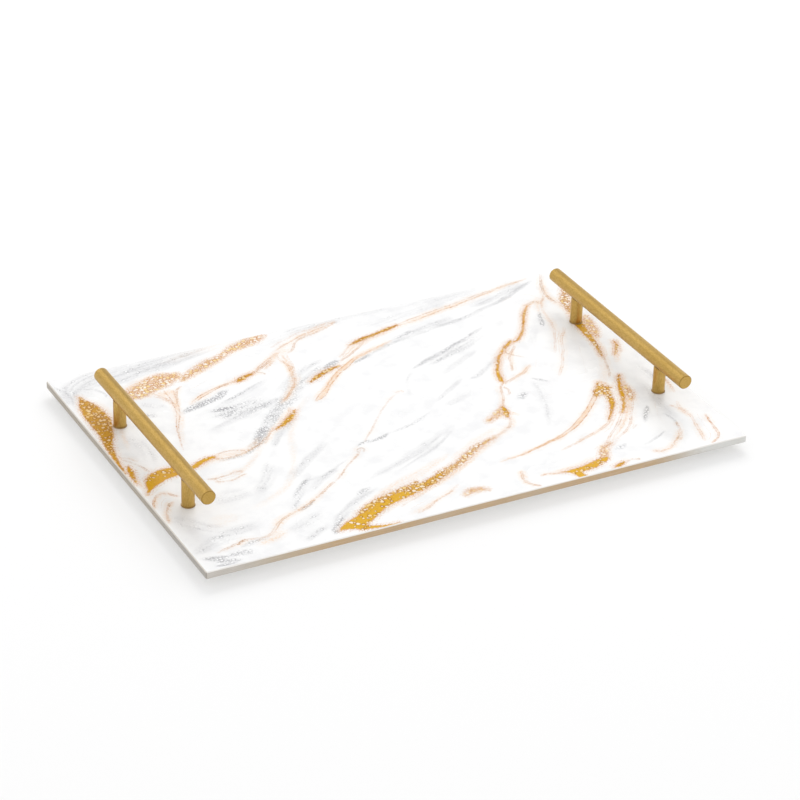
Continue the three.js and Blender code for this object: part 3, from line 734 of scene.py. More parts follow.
def measure(path, where, reach=REACH):
    """Which places are near a path, and for those: distance, side, half width there, whether
    they are beyond its end, and how far in from the nearer end they are."""
    low = path[:, :2].min(0) - reach
    high = path[:, :2].max(0) + reach
    near = np.flatnonzero(((where > low) & (where < high)).all(1))
    place = where[near]
    far = np.full(len(near), 1e6)
    side = np.ones(len(near))
    width = np.zeros(len(near))
    beyond = np.zeros(len(near), bool)
    inward = np.zeros(len(near))
    lengths = np.hypot(*np.diff(path[:, :2], axis=0).T)
    starts = np.concatenate([[0.0], np.cumsum(lengths)])
    for i, (a, b) in enumerate(zip(path[:-1], path[1:])):
        run = b[:2] - a[:2]
        t = ((place - a[:2]) @ run) / (run @ run)
        held = np.clip(t, 0, 1)
        gap = place - a[:2] - held[:, None] * run
        distance = np.hypot(gap[:, 0], gap[:, 1])
        closer = distance < far
        far[closer] = distance[closer]
        cross = run[0] * (place[:, 1] - a[1]) - run[1] * (place[:, 0] - a[0])
        side[closer] = np.where(cross[closer] >= 0, 1.0, -1.0)
        width[closer] = (a[2] + held * (b[2] - a[2]))[closer]
        run_in = starts[i] + held * lengths[i]
        inward[closer] = np.minimum(run_in, starts[-1] - run_in)[closer]
        off_end = ((i == 0) & (t < 0)) | ((i == len(path) - 2) & (t > 1))
        beyond[closer] = off_end[closer]
    return near, far, side, width, beyond, inward / starts[-1]


def soft_noise(where, size, seed):
    """A smooth random number, about -1 to 1, at each place, from a lattice of the given size."""
    draw = np.random.default_rng(seed)
    lattice = draw.uniform(-1, 1, (256, 256))
    cell = where / size + 100.0
    whole = np.floor(cell).astype(int)
    part = cell - whole
    part = part * part * (3 - 2 * part)
    x, y = whole[:, 0] % 256, whole[:, 1] % 256
    x1, y1 = (x + 1) % 256, (y + 1) % 256
    low = lattice[x, y] * (1 - part[:, 0]) + lattice[x1, y] * part[:, 0]
    high = lattice[x, y1] * (1 - part[:, 0]) + lattice[x1, y1] * part[:, 0]
    return low * (1 - part[:, 1]) + high * part[:, 1]


some_places = np.array([[0.0, 0.0], [10.0, 0.0], [20.0, 0.0]])
print("smooth noise at three places:", soft_noise(some_places, 14.0, seed=1).round(2))

# %% [markdown]
# ## Modelling helpers
# Blender's operators work on whatever is selected and active, so each helper first selects one piece
# alone. "settle" bakes a piece's place and size into its mesh: every finished piece then has its
# object at the origin, and only the mesh says where it is.

# %% Selecting helpers
def take(piece):
    """Select one piece alone, and make it the active one."""
    deselect()
    piece.select_set(True)
    bpy.context.view_layer.objects.active = piece


def start_edit(piece):
    take(piece)
    bpy.ops.object.mode_set(mode="EDIT")
    bpy.ops.mesh.select_mode(type="VERT")


def stop_edit():
    bpy.ops.object.mode_set(mode="OBJECT")


def pick(piece, chosen):
    """In edit mode, select the vertices that the test 'chosen' says yes to."""
    bpy.ops.mesh.select_all(action="DESELECT")
    bpy.ops.object.mode_set(mode="OBJECT")
    for vertex in piece.data.vertices:
        vertex.select = bool(chosen(vertex))
    bpy.ops.object.mode_set(mode="EDIT")


def settle(piece):
    """Put the piece's place and size into its mesh, so that its object is at the origin, unturned."""
    take(piece)
    bpy.ops.object.transform_apply(location=True, rotation=True, scale=True)


print("helpers for selecting are ready")

# %% [markdown]
# Holes, saddles and sockets are cut with Boolean modifiers, because that is what a drill or a mill does:
# the tool's shape is taken away. The cutters are thrown away afterwards. Every finished piece is
# shaded smooth with its crisp edges kept, and stands in for one node of the CAD frame.

# %% Cutting and finishing helpers
def cut(piece, cutters):
    """Take the cutters' solids away from a piece, and remove them."""
    for cutter in cutters:
        modifier = piece.modifiers.new("cut", "BOOLEAN")
        modifier.operation = "DIFFERENCE"
        modifier.solver = "EXACT"
        modifier.object = cutter
    take(piece)
    for modifier in list(piece.modifiers):
        bpy.ops.object.modifier_apply(modifier=modifier.name)
    for cutter in cutters:
        bpy.data.objects.remove(cutter)


def rod(name, place, radius, length, along="Z", sides=48):
    """A plain round rod, used only to cut holes and saddles."""
    turns = {"Z": (0, 0, 0), "Y": (math.pi / 2, 0, 0)}
    deselect()
    bpy.ops.mesh.primitive_cylinder_add(
        vertices=sides, radius=radius, depth=length, location=place, rotation=turns[along]
    )
    made = bpy.context.object
    made.name = name
    settle(made)
    return made


def smooth(piece, degrees=35):
    """Shade a piece smooth, but keep the edges crisp that turn by more than this angle."""
    take(piece)
    bpy.ops.object.shade_smooth_by_angle(angle=math.radians(degrees))


def stance(node):
    """The bottom centre, radius and height of a round CAD node that stands upright."""
    low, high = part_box(node)
    foot = Vector(((low.x + high.x) / 2, (low.y + high.y) / 2, low.z))
    return foot, (high.x - low.x) / 2, high.z - low.z


def stand_in(piece, node):
    """Let a finished piece stand for its CAD node."""
    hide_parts(node)
    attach(piece, "root")


print("a post stands at", [round(part / MM, 1) for part in stance(f"post_{SPOTS[0]}")[0]], "mm")

# %% [markdown]
# ## The glass plate
# The plate is a sheet of 6 mm glass. Ground glass always has a small bevel, the arris, because a sharp
# glass edge chips and cuts. The pattern needs a mesh point every 1.25 mm, so the plate starts as a fine
# grid for the flat top. Its open rim is extruded step by step round the top arris, down the side and round
# the bottom arris, and one face closes the underside. A box with a Bevel modifier would give the same
# outline, but its top would be one face, with nowhere to keep a pattern.

# %% The plate's solid
ARRIS = 0.75 * MM
CORNER = 1.2 * MM
ARRIS_STEPS = 3
GRID_SPACING = 1.25 * MM
SLACK = 0.1 * MM
plate_length = glass_high.x - glass_low.x
plate_depth = glass_high.y - glass_low.y
plate_thickness = glass_high.z - glass_low.z

deselect()
bpy.ops.mesh.primitive_grid_add(
    x_subdivisions=round((plate_length - 2 * ARRIS) / GRID_SPACING),
    y_subdivisions=round((plate_depth - 2 * ARRIS) / GRID_SPACING),
    size=1,
    location=(0, 0, glass_high.z),
)
plate = bpy.context.object
plate.name = "marble_glass"
plate.scale = (plate_length - 2 * ARRIS, plate_depth - 2 * ARRIS, 1)
settle(plate)

start_edit(plate)
corner_x = plate_length / 2 - ARRIS - SLACK
corner_y = plate_depth / 2 - ARRIS - SLACK
pick(plate, lambda v: abs(v.co.x) > corner_x and abs(v.co.y) > corner_y)
bpy.ops.mesh.bevel(offset=CORNER, segments=4, affect="VERTICES", clamp_overlap=False)
bpy.ops.mesh.select_all(action="DESELECT")
bpy.ops.mesh.select_mode(type="EDGE")
bpy.ops.mesh.select_non_manifold()


def draw_rim(out_from, out_to, drop, level):
    """Extrude the open rim down by drop, and spread it from one overhang past the flat top to another."""
    bpy.ops.mesh.extrude_region_move(TRANSFORM_OT_translate={"value": (0, 0, -drop)})
    half_x = plate_length / 2 - ARRIS
    half_y = plate_depth / 2 - ARRIS
    bpy.ops.transform.resize(
        value=((half_x + out_to) / (half_x + out_from), (half_y + out_to) / (half_y + out_from), 1),
        center_override=(0, 0, level),
    )


arris_angles = [i / ARRIS_STEPS * math.pi / 2 for i in range(ARRIS_STEPS + 1)]
level = glass_high.z
for a, b in zip(arris_angles[:-1], arris_angles[1:]):
    drop = ARRIS * (math.cos(a) - math.cos(b))
    draw_rim(ARRIS * math.sin(a), ARRIS * math.sin(b), drop, level - drop)
    level -= drop
side_drop = plate_thickness - 2 * ARRIS
draw_rim(ARRIS, ARRIS, side_drop, level - side_drop)
level -= side_drop
for a, b in zip(arris_angles[:-1], arris_angles[1:]):
    drop = ARRIS * (math.sin(b) - math.sin(a))
    draw_rim(ARRIS * math.cos(a), ARRIS * math.cos(b), drop, level - drop)
    level -= drop
bpy.ops.mesh.edge_face_add()
bpy.ops.mesh.select_all(action="SELECT")
bpy.ops.mesh.normals_make_consistent(inside=False)
stop_edit()
print("plate faces:", len(plate.data.polygons), "lowest", round(min(v.co.z for v in plate.data.vertices), 5))

# %% [markdown]
# Each post needs a hole through the glass, a little wider than the screw's sleeve. On the real sheet
# these are drilled with a diamond core before the edges are ground. Here four rods are taken away
# with Boolean modifiers, which keeps the grid around them untouched.

# %% The four holes
HOLE_RADIUS = 3.5 * MM
post_places = {spot: stance(f"post_{spot}")[0] for spot in SPOTS}
glass_middle = (glass_low.z + glass_high.z) / 2
cut(plate, [
    rod("hole", (place.x, place.y, glass_middle), HOLE_RADIUS, 3 * plate_thickness)
    for place in post_places.values()
])
print("plate faces after drilling:", len(plate.data.polygons))

# %% [markdown]
# ## Paint the pattern onto the plate
# Each mesh point now gets its numbers: how deep it lies in gold, how much peach and grey has reached it,
# and its distances to the nearest threads. The place is shifted a little by smooth noise first, which
# gives every stroke the wandering rim of poured paint.

# %% Shift the places a little
count = len(plate.data.vertices)
points = np.zeros(count * 3)
plate.data.vertices.foreach_get("co", points)
places = points.reshape(-1, 3)[:, :2] / MM
shift = np.stack([
    0.9 * soft_noise(places, 14.0, 11) + 0.3 * soft_noise(places, 4.0, 12),
    0.9 * soft_noise(places, 14.0, 13) + 0.3 * soft_noise(places, 4.0, 14),
], axis=1)
wandered = places + shift
print("mesh points:", count)

# %% [markdown]
# Gold first. Where two rivers meet, a point belongs to the one in which it lies deeper, so the rivers
# join without a seam.

# %% Gold
gold_depth = np.full(count, -REACH)
gold_tone = np.zeros(count)
gold_cells = np.zeros(count)
for name, (tone, cells, _) in GOLD.items():
    near, distance, _, width, _, _ = measure(gold_paths[name], wandered)
    depth = width - distance
    better = depth > gold_depth[near]
    chosen = near[better]
    gold_depth[chosen] = depth[better]
    gold_tone[chosen] = tone
    gold_cells[chosen] = cells
print("share of the plate in gold:", round(float((gold_depth > 0).mean()), 3))

# %% [markdown]
# The washes are thin, so they add up where they cross, as thin paint does. Each fades towards its
# rim and towards its two ends.

# %% Peach and grey washes
def ease(t):
    """0 below 0, 1 above 1, and a soft S between."""
    t = np.clip(t, 0, 1)
    return t * t * (3 - 2 * t)


peach = np.zeros(count)
for (strength, _), path in zip(PEACH, peach_paths):
    near, distance, _, width, _, inward = measure(path, wandered, WASH_REACH)
    add = strength * ease(1 - distance / np.maximum(width, 0.5)) * ease(0.35 + 4 * inward)
    peach[near] = 1 - (1 - peach[near]) * (1 - add)

grey = np.zeros(count)
grey_cells = np.zeros(count)
for (strength, cells, _), path in zip(GREY, grey_paths):
    near, distance, _, width, _, inward = measure(path, wandered, WASH_REACH)
    add = strength * ease(1.15 - distance / np.maximum(width, 0.5)) * ease(0.3 + 4 * inward)
    grey_cells[near] = np.where(add > grey[near], cells, grey_cells[near])
    grey[near] = 1 - (1 - grey[near]) * (1 - add)
print("mean peach and grey:", round(float(peach.mean()), 3), round(float(grey.mean()), 3))

# %% [markdown]
# A point can keep the distance to one thread only, and threads cross. So they are dealt out to three
# layers: a thread goes to the first layer on which no other thread comes near it.

# %% Threads, on three layers
LAYERS = 3
CLEAR = 3.5
FAR_APART = 1000.0
layer_points = [[] for _ in range(LAYERS)]
thread_side = np.full((count, LAYERS), 50.0)
thread_width = np.full((count, LAYERS), -20.0)
thread_tone = np.zeros((count, LAYERS))
thread_strength = np.zeros((count, LAYERS))
nearest_thread = np.full((count, LAYERS), 1e6)
for (tone, strength, _, _), path in zip(THREADS, thread_paths):
    gaps = []
    for taken in layer_points:
        if not taken:
            gaps.append(FAR_APART)
            continue
        away = path[:, None, :2] - np.vstack(taken)[None, :, :]
        gaps.append(np.hypot(away[..., 0], away[..., 1]).min())
    layer = next((i for i, gap in enumerate(gaps) if gap > CLEAR), int(np.argmax(gaps)))
    layer_points[layer].append(path[:, :2])
    near, distance, side, width, beyond, inward = measure(path, wandered)
    better = distance < nearest_thread[near, layer]
    chosen = near[better]
    nearest_thread[chosen, layer] = distance[better]
    thread_side[chosen, layer] = (distance * side)[better]
    thread_width[chosen, layer] = np.where(beyond, -distance, width)[better]
    thread_tone[chosen, layer] = tone
    thread_strength[chosen, layer] = strength * ease(0.3 + 5 * inward[better])
print("threads on each layer:", [len(taken) for taken in layer_points])

# %% [markdown]
# Paint that has run leaves fine streaks along its way. To draw them, the direction of all strokes is
# first averaged over the plate. Directions are averaged as doubled angles, so that a line and the
# same line drawn backwards agree.

# %% The flow
FLOW_CELL = 6.0
FLOW_LOW = np.array([-240.0, -162.0])
FLOW_SOFTNESS = 20.0


def flow_field():
    """The cosine and sine of twice the flow's angle, on a coarse lattice."""
    middles = []
    runs = []
    for path in all_paths:
        middles.append((path[1:, :2] + path[:-1, :2]) / 2)
        runs.append(path[1:, :2] - path[:-1, :2])
    middles = np.vstack(middles)
    runs = np.vstack(runs)
    length = np.hypot(runs[:, 0], runs[:, 1])
    double = 2 * np.arctan2(runs[:, 1], runs[:, 0])
    x = np.arange(FLOW_LOW[0], 1 - FLOW_LOW[0], FLOW_CELL)
    y = np.arange(FLOW_LOW[1], 1 - FLOW_LOW[1], FLOW_CELL)
    nodes = np.stack(np.meshgrid(x, y, indexing="ij"), -1).reshape(-1, 2)
    gap2 = ((nodes[:, None, :] - middles[None, :, :]) ** 2).sum(-1)
    weight = length / (gap2 + FLOW_SOFTNESS) ** 1.5
    cosine = (weight * np.cos(double)).sum(1).reshape(len(x), len(y))
    sine = (weight * np.sin(double)).sum(1).reshape(len(x), len(y))
    size = np.hypot(cosine, sine) + 1e-9
    return cosine / size, sine / size


def look_up(lattice, low, cell, where):
    """Read a lattice between its nodes."""
    at = (where - low) / cell
    whole = np.floor(at).astype(int)
    part = at - whole
    x0 = np.clip(whole[:, 0], 0, lattice.shape[0] - 1)
    y0 = np.clip(whole[:, 1], 0, lattice.shape[1] - 1)
    x1 = np.clip(whole[:, 0] + 1, 0, lattice.shape[0] - 1)
    y1 = np.clip(whole[:, 1] + 1, 0, lattice.shape[1] - 1)
    low_side = lattice[x0, y0] * (1 - part[:, 0]) + lattice[x1, y0] * part[:, 0]
    high_side = lattice[x0, y1] * (1 - part[:, 0]) + lattice[x1, y1] * part[:, 0]
    return low_side * (1 - part[:, 1]) + high_side * part[:, 1]


flow_cosine, flow_sine = flow_field()
print("flow lattice:", flow_cosine.shape)

# %% [markdown]
# From each node of a finer lattice a walker follows the flow both ways and adds up the random
# grains it meets. Neighbours along the flow meet the same grains, so the sum comes out streaked.

# %% Smear grains along the flow

STREAK_CELL = 1.25
STREAK_LOW = np.array([-232.0, -156.0])


def smear(seed, grain, reach):
    """Random grains of a given size, smeared along the flow, as a number from 0 to 1 at each mesh point."""
    x = np.arange(STREAK_LOW[0], 1 - STREAK_LOW[0], STREAK_CELL)
    y = np.arange(STREAK_LOW[1], 1 - STREAK_LOW[1], STREAK_CELL)
    nodes = np.stack(np.meshgrid(x, y, indexing="ij"), -1).reshape(-1, 2)
    total = soft_noise(nodes, grain, seed)
    for way in (1.0, -1.0):
        at = nodes.copy()
        before = None
        for _ in range(int(reach / STREAK_CELL)):
            half = 0.5 * np.arctan2(look_up(flow_sine, FLOW_LOW, FLOW_CELL, at),
                                    look_up(flow_cosine, FLOW_LOW, FLOW_CELL, at))
            step = np.stack([np.cos(half), np.sin(half)], 1)
            if before is None:
                step *= way
            else:
                step *= np.where((step * before).sum(1) < 0, -1.0, 1.0)[:, None]
            at = at + step * STREAK_CELL
            before = step
            total += soft_noise(at, grain, seed)
    spread_out = (total - total.mean()) / total.std()
    lattice = (0.5 + 0.22 * spread_out).clip(0, 1).reshape(len(x), len(y))
    return look_up(lattice, STREAK_LOW, STREAK_CELL, places)


fine_streak = smear(21, 1.3, 16.0)
broad_streak = smear(22, 4.0, 30.0)
print("streaks from", round(float(fine_streak.min()), 2), "to", round(float(fine_streak.max()), 2))

# %% [markdown]
# Glass carries the colour of the print to its edge, so the edge is tan where a river runs near it. The
# distance to the nearest river point is kept for that tint. Then all the numbers are stored on the
# mesh as attributes, three at a time.

# %% How much gold lies near, and storing it all
TAN_REACH = 75.0
nearest = np.full(count, TAN_REACH)
for _, _, river in GOLD.values():
    for x, y, half_width in river:
        nearest = np.minimum(nearest, np.hypot(places[:, 0] - x, places[:, 1] - y) - half_width)
near_gold = ease(1 - nearest / TAN_REACH)


def keep(name, *columns):
    """Store up to three numbers at every mesh point, under one name."""
    attribute = plate.data.attributes.new(name, "FLOAT_VECTOR", "POINT")
    columns = [*columns, np.zeros(count), np.zeros(count)][:3]
    attribute.data.foreach_set("vector", np.stack(columns, 1).astype(np.float32).ravel())


keep("gold", gold_depth, gold_tone, gold_cells)
keep("wash", peach, grey, grey_cells)
keep("streak", fine_streak, broad_streak, near_gold)
keep("thread_side", *thread_side.T)
keep("thread_width", *thread_width.T)
keep("thread_tone", *thread_tone.T)
keep("thread_strength", *thread_strength.T)
print("stored:", [a.name for a in plate.data.attributes if a.data_type == "FLOAT_VECTOR"])

# %% [markdown]
# ## The marble finish
# The shader paints in the order that a printer would: white ground, grey, peach, threads, and gold on top.
# Noise roughens every rim. The air cells in the gold are Voronoi cells: the distance to a cell's wall
# gives its open middle, and a random number for each cell decides whether it is open at all.

# %% Marble: noises, and the plate's own numbers
marble = Recipe("marble_print_under_glass")
where = marble.coords(scale=(1000, 1000, 0))
rag = marble.swing(where, 0.42, detail=3.0, rough=0.6)
grain = marble.swing(where, 1.5, detail=2.0, rough=0.6)
cloud = marble.swing(where, 0.05, detail=4.0, rough=0.55)
dots = marble.swing(where, 0.85, detail=2.0, rough=0.65)
beads = marble.step(marble.noise(where, 0.6, detail=3.0, rough=0.75), 0.4, 0.6, 0.2, 1.0)
gold_at, gold_tone_at, gold_cells_at = marble.field("gold")
peach_at, grey_at, grey_cells_at = marble.field("wash")
fine_at, broad_at, _ = marble.field("streak")
print("nodes for noises and numbers:", len(marble.tree.nodes))

# %% [markdown]
# Poured paint traps air, and the bubbles leave round cells with a darker rim. A Voronoi texture
# gives each cell a middle and three random numbers. They decide whether the cell is there, how
# wide it is and how pale its ink. Uneven ink, "grit", is noise pushed to a hard contrast.

# %% Marble: cells and grit
def bubbles(size_mm, shift, share):
    """Round air cells: how open each place is, how much of a cell's rim it is, and a random
    number for each cell. share is how many of the cells there are."""
    moved = marble.node("ShaderNodeMapping", Vector=where, Location=(shift, shift, 0))
    wander = marble.node(
        "ShaderNodeVectorMath", settings={"operation": "MULTIPLY_ADD"},
        i0=marble.node("ShaderNodeTexNoise", out="Color", Vector=where, Scale=0.6, Detail=1.0),
        i1=(0.7, 0.7, 0), i2=moved,
    )
    from_middle = marble.node(
        "ShaderNodeTexVoronoi", out="Distance", settings={"voronoi_dimensions": "2D"},
        Vector=wander, Scale=1 / size_mm,
    )
    random_colour = from_middle.node.outputs["Color"]
    chance, girth, shade = marble.node("ShaderNodeSeparateColor", i0=random_colour).node.outputs
    radius = marble.step(girth, 0.0, 1.0, 0.2, 0.46)
    there = marble.math("LESS_THAN", chance, share)
    inside = marble.math("SUBTRACT", radius, from_middle)
    opening = marble.times(marble.step(inside, -0.04, 0.1), there)
    off_rim = marble.math("ABSOLUTE", marble.plus(inside, 0.12))
    ring = marble.times(marble.step(off_rim, 0.24, 0.06), there)
    return opening, ring, shade


def grit(coarse):
    """Uneven ink: even where coarse is 0, broken up into grains where it is 1."""
    spots = marble.step(marble.noise(where, 0.6, detail=4.0, rough=0.75), 0.4, 0.6, -1.0, 1.0)
    return marble.plus(1.0, marble.times(spots, marble.step(coarse, 0.0, 1.0, 0.35, 0.9)))


def up_to_one(value):
    return marble.math("MINIMUM", value, 1.0)


print("helpers for cells and grit are ready")

# %% [markdown]
# The ground is a clean white with a faint haze. Over it come the grey and the peach, both drawn out
# along the flow by the fine streaks.

# %% Marble: ground and washes
WHITE = linear(254, 254, 254)
HAZE = linear(232, 232, 234)
GREY_INK = linear(168, 167, 171)
GREY_RING = linear(146, 144, 148)
PEACH_INK = linear(246, 213, 180)
GREY_CELL = 2.6
GREY_OPACITY = 0.72
PEACH_OPACITY = 0.95

haze_share = marble.plus(cloud, marble.times(broad_at, 0.16), marble.times(grain, 0.22))
colour = marble.mix(marble.step(haze_share, 0.0, 0.3, 0, 0.4), WHITE, HAZE)

grey_streaked = marble.times(grey_at, marble.step(fine_at, 0.1, 0.85, 0.35, 1.35))
grey_share = marble.times(grey_streaked, grit(grey_cells_at), GREY_OPACITY)
colour = marble.mix(up_to_one(grey_share), colour, GREY_INK)
grey_froth = marble.times(grey_cells_at, marble.step(grey_at, 0.05, 0.35), 0.9)
grey_open, grey_ring, _ = bubbles(GREY_CELL, 17.0, grey_froth)
ring_share = marble.times(grey_ring, marble.step(grey_streaked, 0.0, 0.5, 0.05, 0.5))
colour = marble.mix(ring_share, colour, GREY_RING)
colour = marble.mix(marble.times(grey_open, 0.8), colour, WHITE)

peach_streaked = marble.times(peach_at, marble.step(fine_at, 0.1, 0.9, 0.45, 1.3))
peach_ragged = marble.times(peach_streaked, marble.step(rag, -0.25, 0.2, 0.5, 1.2))
peach_share = marble.times(peach_ragged, grit(0.4), PEACH_OPACITY)
colour = marble.mix(up_to_one(peach_share), colour, PEACH_INK)
print("nodes so far:", len(marble.tree.nodes))

# %% [markdown]
# A thread has a dark line along each of its rims, a pale band between them and a peach halo outside,
# because the ink was pushed aside as the drop sank. Its distance has a sign, so noise can bend the whole
# line to one side and leave its width alone.

# %% Marble: threads
ORANGE_INK = linear(208, 134, 56)
TAUPE_INK = linear(166, 132, 104)
wobble = marble.plus(marble.times(rag, 0.8), marble.times(grain, 1.1))
swell = marble.step(marble.noise(where, 0.09, detail=2.0), 0.38, 0.62, 0.55, 1.25)
streaky = marble.step(fine_at, 0.2, 0.8, 0.45, 1.2)
layers = zip(*[marble.field(f"thread_{part}") for part in ("side", "width", "tone", "strength")])
for side_at, width_at, tone_at, strength_at in layers:
    strong = marble.times(strength_at, swell)
    away = marble.math("ABSOLUTE", marble.plus(side_at, wobble))
    core = marble.math("SUBTRACT", marble.plus(width_at, marble.times(rag, 0.8)), away)
    halo = marble.times(marble.step(core, -5.5, 0.5, 0, 0.42), strong)
    colour = marble.mix(marble.times(halo, beads, streaky), colour, PEACH_INK)
    band = marble.times(marble.step(core, -1.0, 0.8, 0, 0.34), strong)
    colour = marble.mix(marble.times(band, streaky), colour, PEACH_INK)
    from_rim = marble.math("ABSOLUTE", marble.math("SUBTRACT", core, 0.3))
    line = marble.times(marble.step(from_rim, 0.75, 0.0), strong)
    colour = marble.mix(marble.times(line, beads), colour, marble.mix(tone_at, ORANGE_INK, TAUPE_INK))
print("nodes with the threads:", len(marble.tree.nodes))

# %% [markdown]
# Gold lies on top. It ends in a ragged rim, with a mist of fine orange specks outside. "dense" is 1 only
# where nearly all cells are open: there the gold is a froth, thin walls round pale cells, and
# elsewhere it is solid ink.

# %% Marble: the gold's rim and ink
GOLD_YELLOW = linear(232, 180, 10)
GOLD_BROWN = linear(186, 128, 34)
GOLD_RIM = linear(212, 144, 36)
GOLD_RING = linear(166, 104, 30)
GOLD_LIGHT = linear(247, 200, 84)

dense = marble.step(gold_cells_at, 0.72, 0.97)
rag_reach = marble.plus(3.6, marble.times(dense, 6.0))
depth_at = marble.plus(gold_at, marble.plus(marble.times(rag, rag_reach), marble.times(grain, 3.4)))
gold_share = marble.step(depth_at, -0.9, marble.plus(0.7, marble.times(dense, 2.0)))

near_rim = marble.step(gold_at, -8.0, 0.5)
colour = marble.mix(marble.times(near_rim, near_rim, marble.times(beads, 0.45)), colour, PEACH_INK)
speck = marble.step(marble.plus(dots, marble.times(near_rim, 0.16)), 0.13, 0.26)
colour = marble.mix(marble.times(speck, near_rim, 0.75), colour, ORANGE_INK)

shaded = marble.plus(rag, marble.times(broad_at, 0.3))
gold_ink = marble.mix(gold_tone_at, GOLD_YELLOW, GOLD_BROWN)
gold_ink = marble.mix(marble.step(shaded, 0.0, 0.4, 0, 0.35), gold_ink, GOLD_RIM)
gold_ink = marble.mix(marble.step(dots, 0.02, 0.2, 0, 0.4), gold_ink, GOLD_LIGHT)
gold_ink = marble.mix(marble.step(dots, -0.03, -0.2, 0, 0.35), gold_ink, GOLD_RING)
gold_ink = marble.mix(marble.step(depth_at, 1.4, -0.2, 0, 0.6), gold_ink, GOLD_RIM)
colour = marble.mix(marble.times(gold_share, dense, 0.5), colour, PEACH_INK)
colour = marble.mix(marble.times(gold_share, marble.step(dense, 0.0, 1.0, 1.0, 0.2)), colour, gold_ink)
print("nodes with the gold:", len(marble.tree.nodes))

# %% [markdown]
# Two sizes of cells are laid over the gold, the small ones fewer than the large. The rims are painted
# first and the pale middles second, so a cell always covers the rim of its neighbour. Brown gold holds
# amber cells, yellow gold holds white ones.

# %% Marble: the gold's cells
ORANGE_BROWN = linear(204, 138, 72)
CELL_WHITE = linear(255, 250, 240)
CELL_PALE = linear(250, 222, 150)
CELL_AMBER = linear(240, 204, 128)
BIG_CELL = 3.4
SMALL_CELL = 2.1

share = marble.times(gold_cells_at, marble.step(gold_at, -2.0, 2.5, 1.3, 1.0))
big_open, big_ring, big_shade = bubbles(BIG_CELL, 0.0, share)
small_open, small_ring, _ = bubbles(SMALL_CELL, 40.0, marble.times(share, 0.55))
froth_rim = marble.plus(0.8, marble.times(dense, 4.0))
frothy = marble.step(marble.plus(depth_at, marble.times(dense, 2.5)), -1.0, froth_rim)
ring = marble.times(marble.math("MAXIMUM", big_ring, marble.times(small_ring, 0.8)), frothy)
ring_share = marble.times(ring, marble.step(dense, 0.0, 1.0, 0.74, 0.72))
colour = marble.mix(ring_share, colour, marble.mix(dense, GOLD_RING, ORANGE_BROWN))
cell_ink = marble.mix(marble.step(big_shade, 0.85, 0.3), CELL_PALE, CELL_WHITE)
amber = marble.times(gold_tone_at, marble.step(dense, 0.0, 0.5, 1.0, 0.0), 1.1)
cell_ink = marble.mix(amber, cell_ink, CELL_AMBER)
opening = marble.math("MAXIMUM", big_open, marble.times(small_open, 0.8))
colour = marble.mix(marble.times(opening, frothy, 0.92), colour, cell_ink)
print("nodes with the cells:", len(marble.tree.nodes))

# %% [markdown]
# The set is bright, so all inks are dimmed together until the bare white is only just white. Glass over
# a print is glossy with a very slight ripple, which the sheen shows and the pattern doesn't.

# %% Marble: gloss
INK_BRIGHTNESS = 0.825
dimmed = marble.node(
    "ShaderNodeVectorMath", settings={"operation": "SCALE"}, i0=colour, Scale=INK_BRIGHTNESS
)
gloss = marble.step(marble.noise(where, 0.02, detail=3.0), 0.3, 0.7, 0.2, 0.28)
ripple = marble.bump(marble.noise(where, 0.03, detail=2.0), 0.05, 0.002)
marble_finish = marble.finish(Base_Color=dimmed, Roughness=gloss, Normal=ripple, Specular_IOR_Level=0.25)
print("marble nodes:", len(marble.tree.nodes))

# %% [markdown]
# ## The ground edge
# The rim of the sheet is ground and polished. Light that has crossed the print comes out there, so the edge
# is a pale grey that turns tan beside the gold. It is painted lighter towards the right end and greyer near
# the front left corner. The left side is a darker copy of the same tint, a painted shade for the side that
# faces away from the lamps. Fine marks of the grinding belt run along it.

# %% Ground edge finish
edge = Recipe("ground_glass_edge")
edge_gold = edge.field("streak")[2]
belt = edge.noise(edge.coords(scale=(60, 60, 4000)), 1.0, detail=3.0)
blotch = edge.noise(edge.coords(scale=(1000, 1000, 1000)), 0.12, detail=2.0)
across = edge.place()[0]
right_end = edge.step(across, glass_high.x - 80 * MM, glass_high.x - 30 * MM)
left_end = edge.step(across, glass_low.x + 60 * MM, glass_low.x + 15 * MM)
on_left_side = edge.math("LESS_THAN", across, glass_low.x + ARRIS)
edge_tint = edge.mix(edge_gold, linear(190, 176, 155), linear(190, 158, 116))
edge_tint = edge.mix(left_end, edge_tint, linear(196, 190, 182))
edge_tint = edge.mix(right_end, edge_tint, linear(213, 213, 209))
# painted shade: the left side gets a darker copy of the edge tint, because it faces away from the lamps
side_painted_shade = edge.mix(edge_gold, linear(156, 150, 142), linear(154, 142, 124))
edge_tint = edge.mix(on_left_side, edge_tint, side_painted_shade)
edge_tint = edge.mix(edge.step(blotch, 0.3, 0.8, 0, 0.2), edge_tint, linear(170, 158, 142))
edge_tint = edge.mix(edge.step(belt, 0.35, 0.75, 0, 0.15), edge_tint, linear(236, 234, 230))
edge_finish = edge.finish(
    Base_Color=edge_tint,
    Roughness=edge.step(belt, 0.3, 0.7, 0.22, 0.4),
    Normal=edge.bump(belt, 0.15, 0.0001),
    IOR=1.5,
)
print("edge nodes:", len(edge.tree.nodes))

# %% [markdown]
# The arris is polished, and its colour is near white, a painted highlight: it draws a thin light line round
# the plate, as a bevel catching the lamps does. On the left side it is painted greyer, a painted shade. It
# is a finish of its own, because a line that thin is lost if one material has to find it.

# %% Arris finish, with a painted highlight
arris = Recipe("arris_painted_highlight")
arris_belt = arris.noise(arris.coords(scale=(80, 80, 3000)), 1.0, detail=3.0)
on_side = arris.math("LESS_THAN", arris.place()[0], glass_low.x + ARRIS)
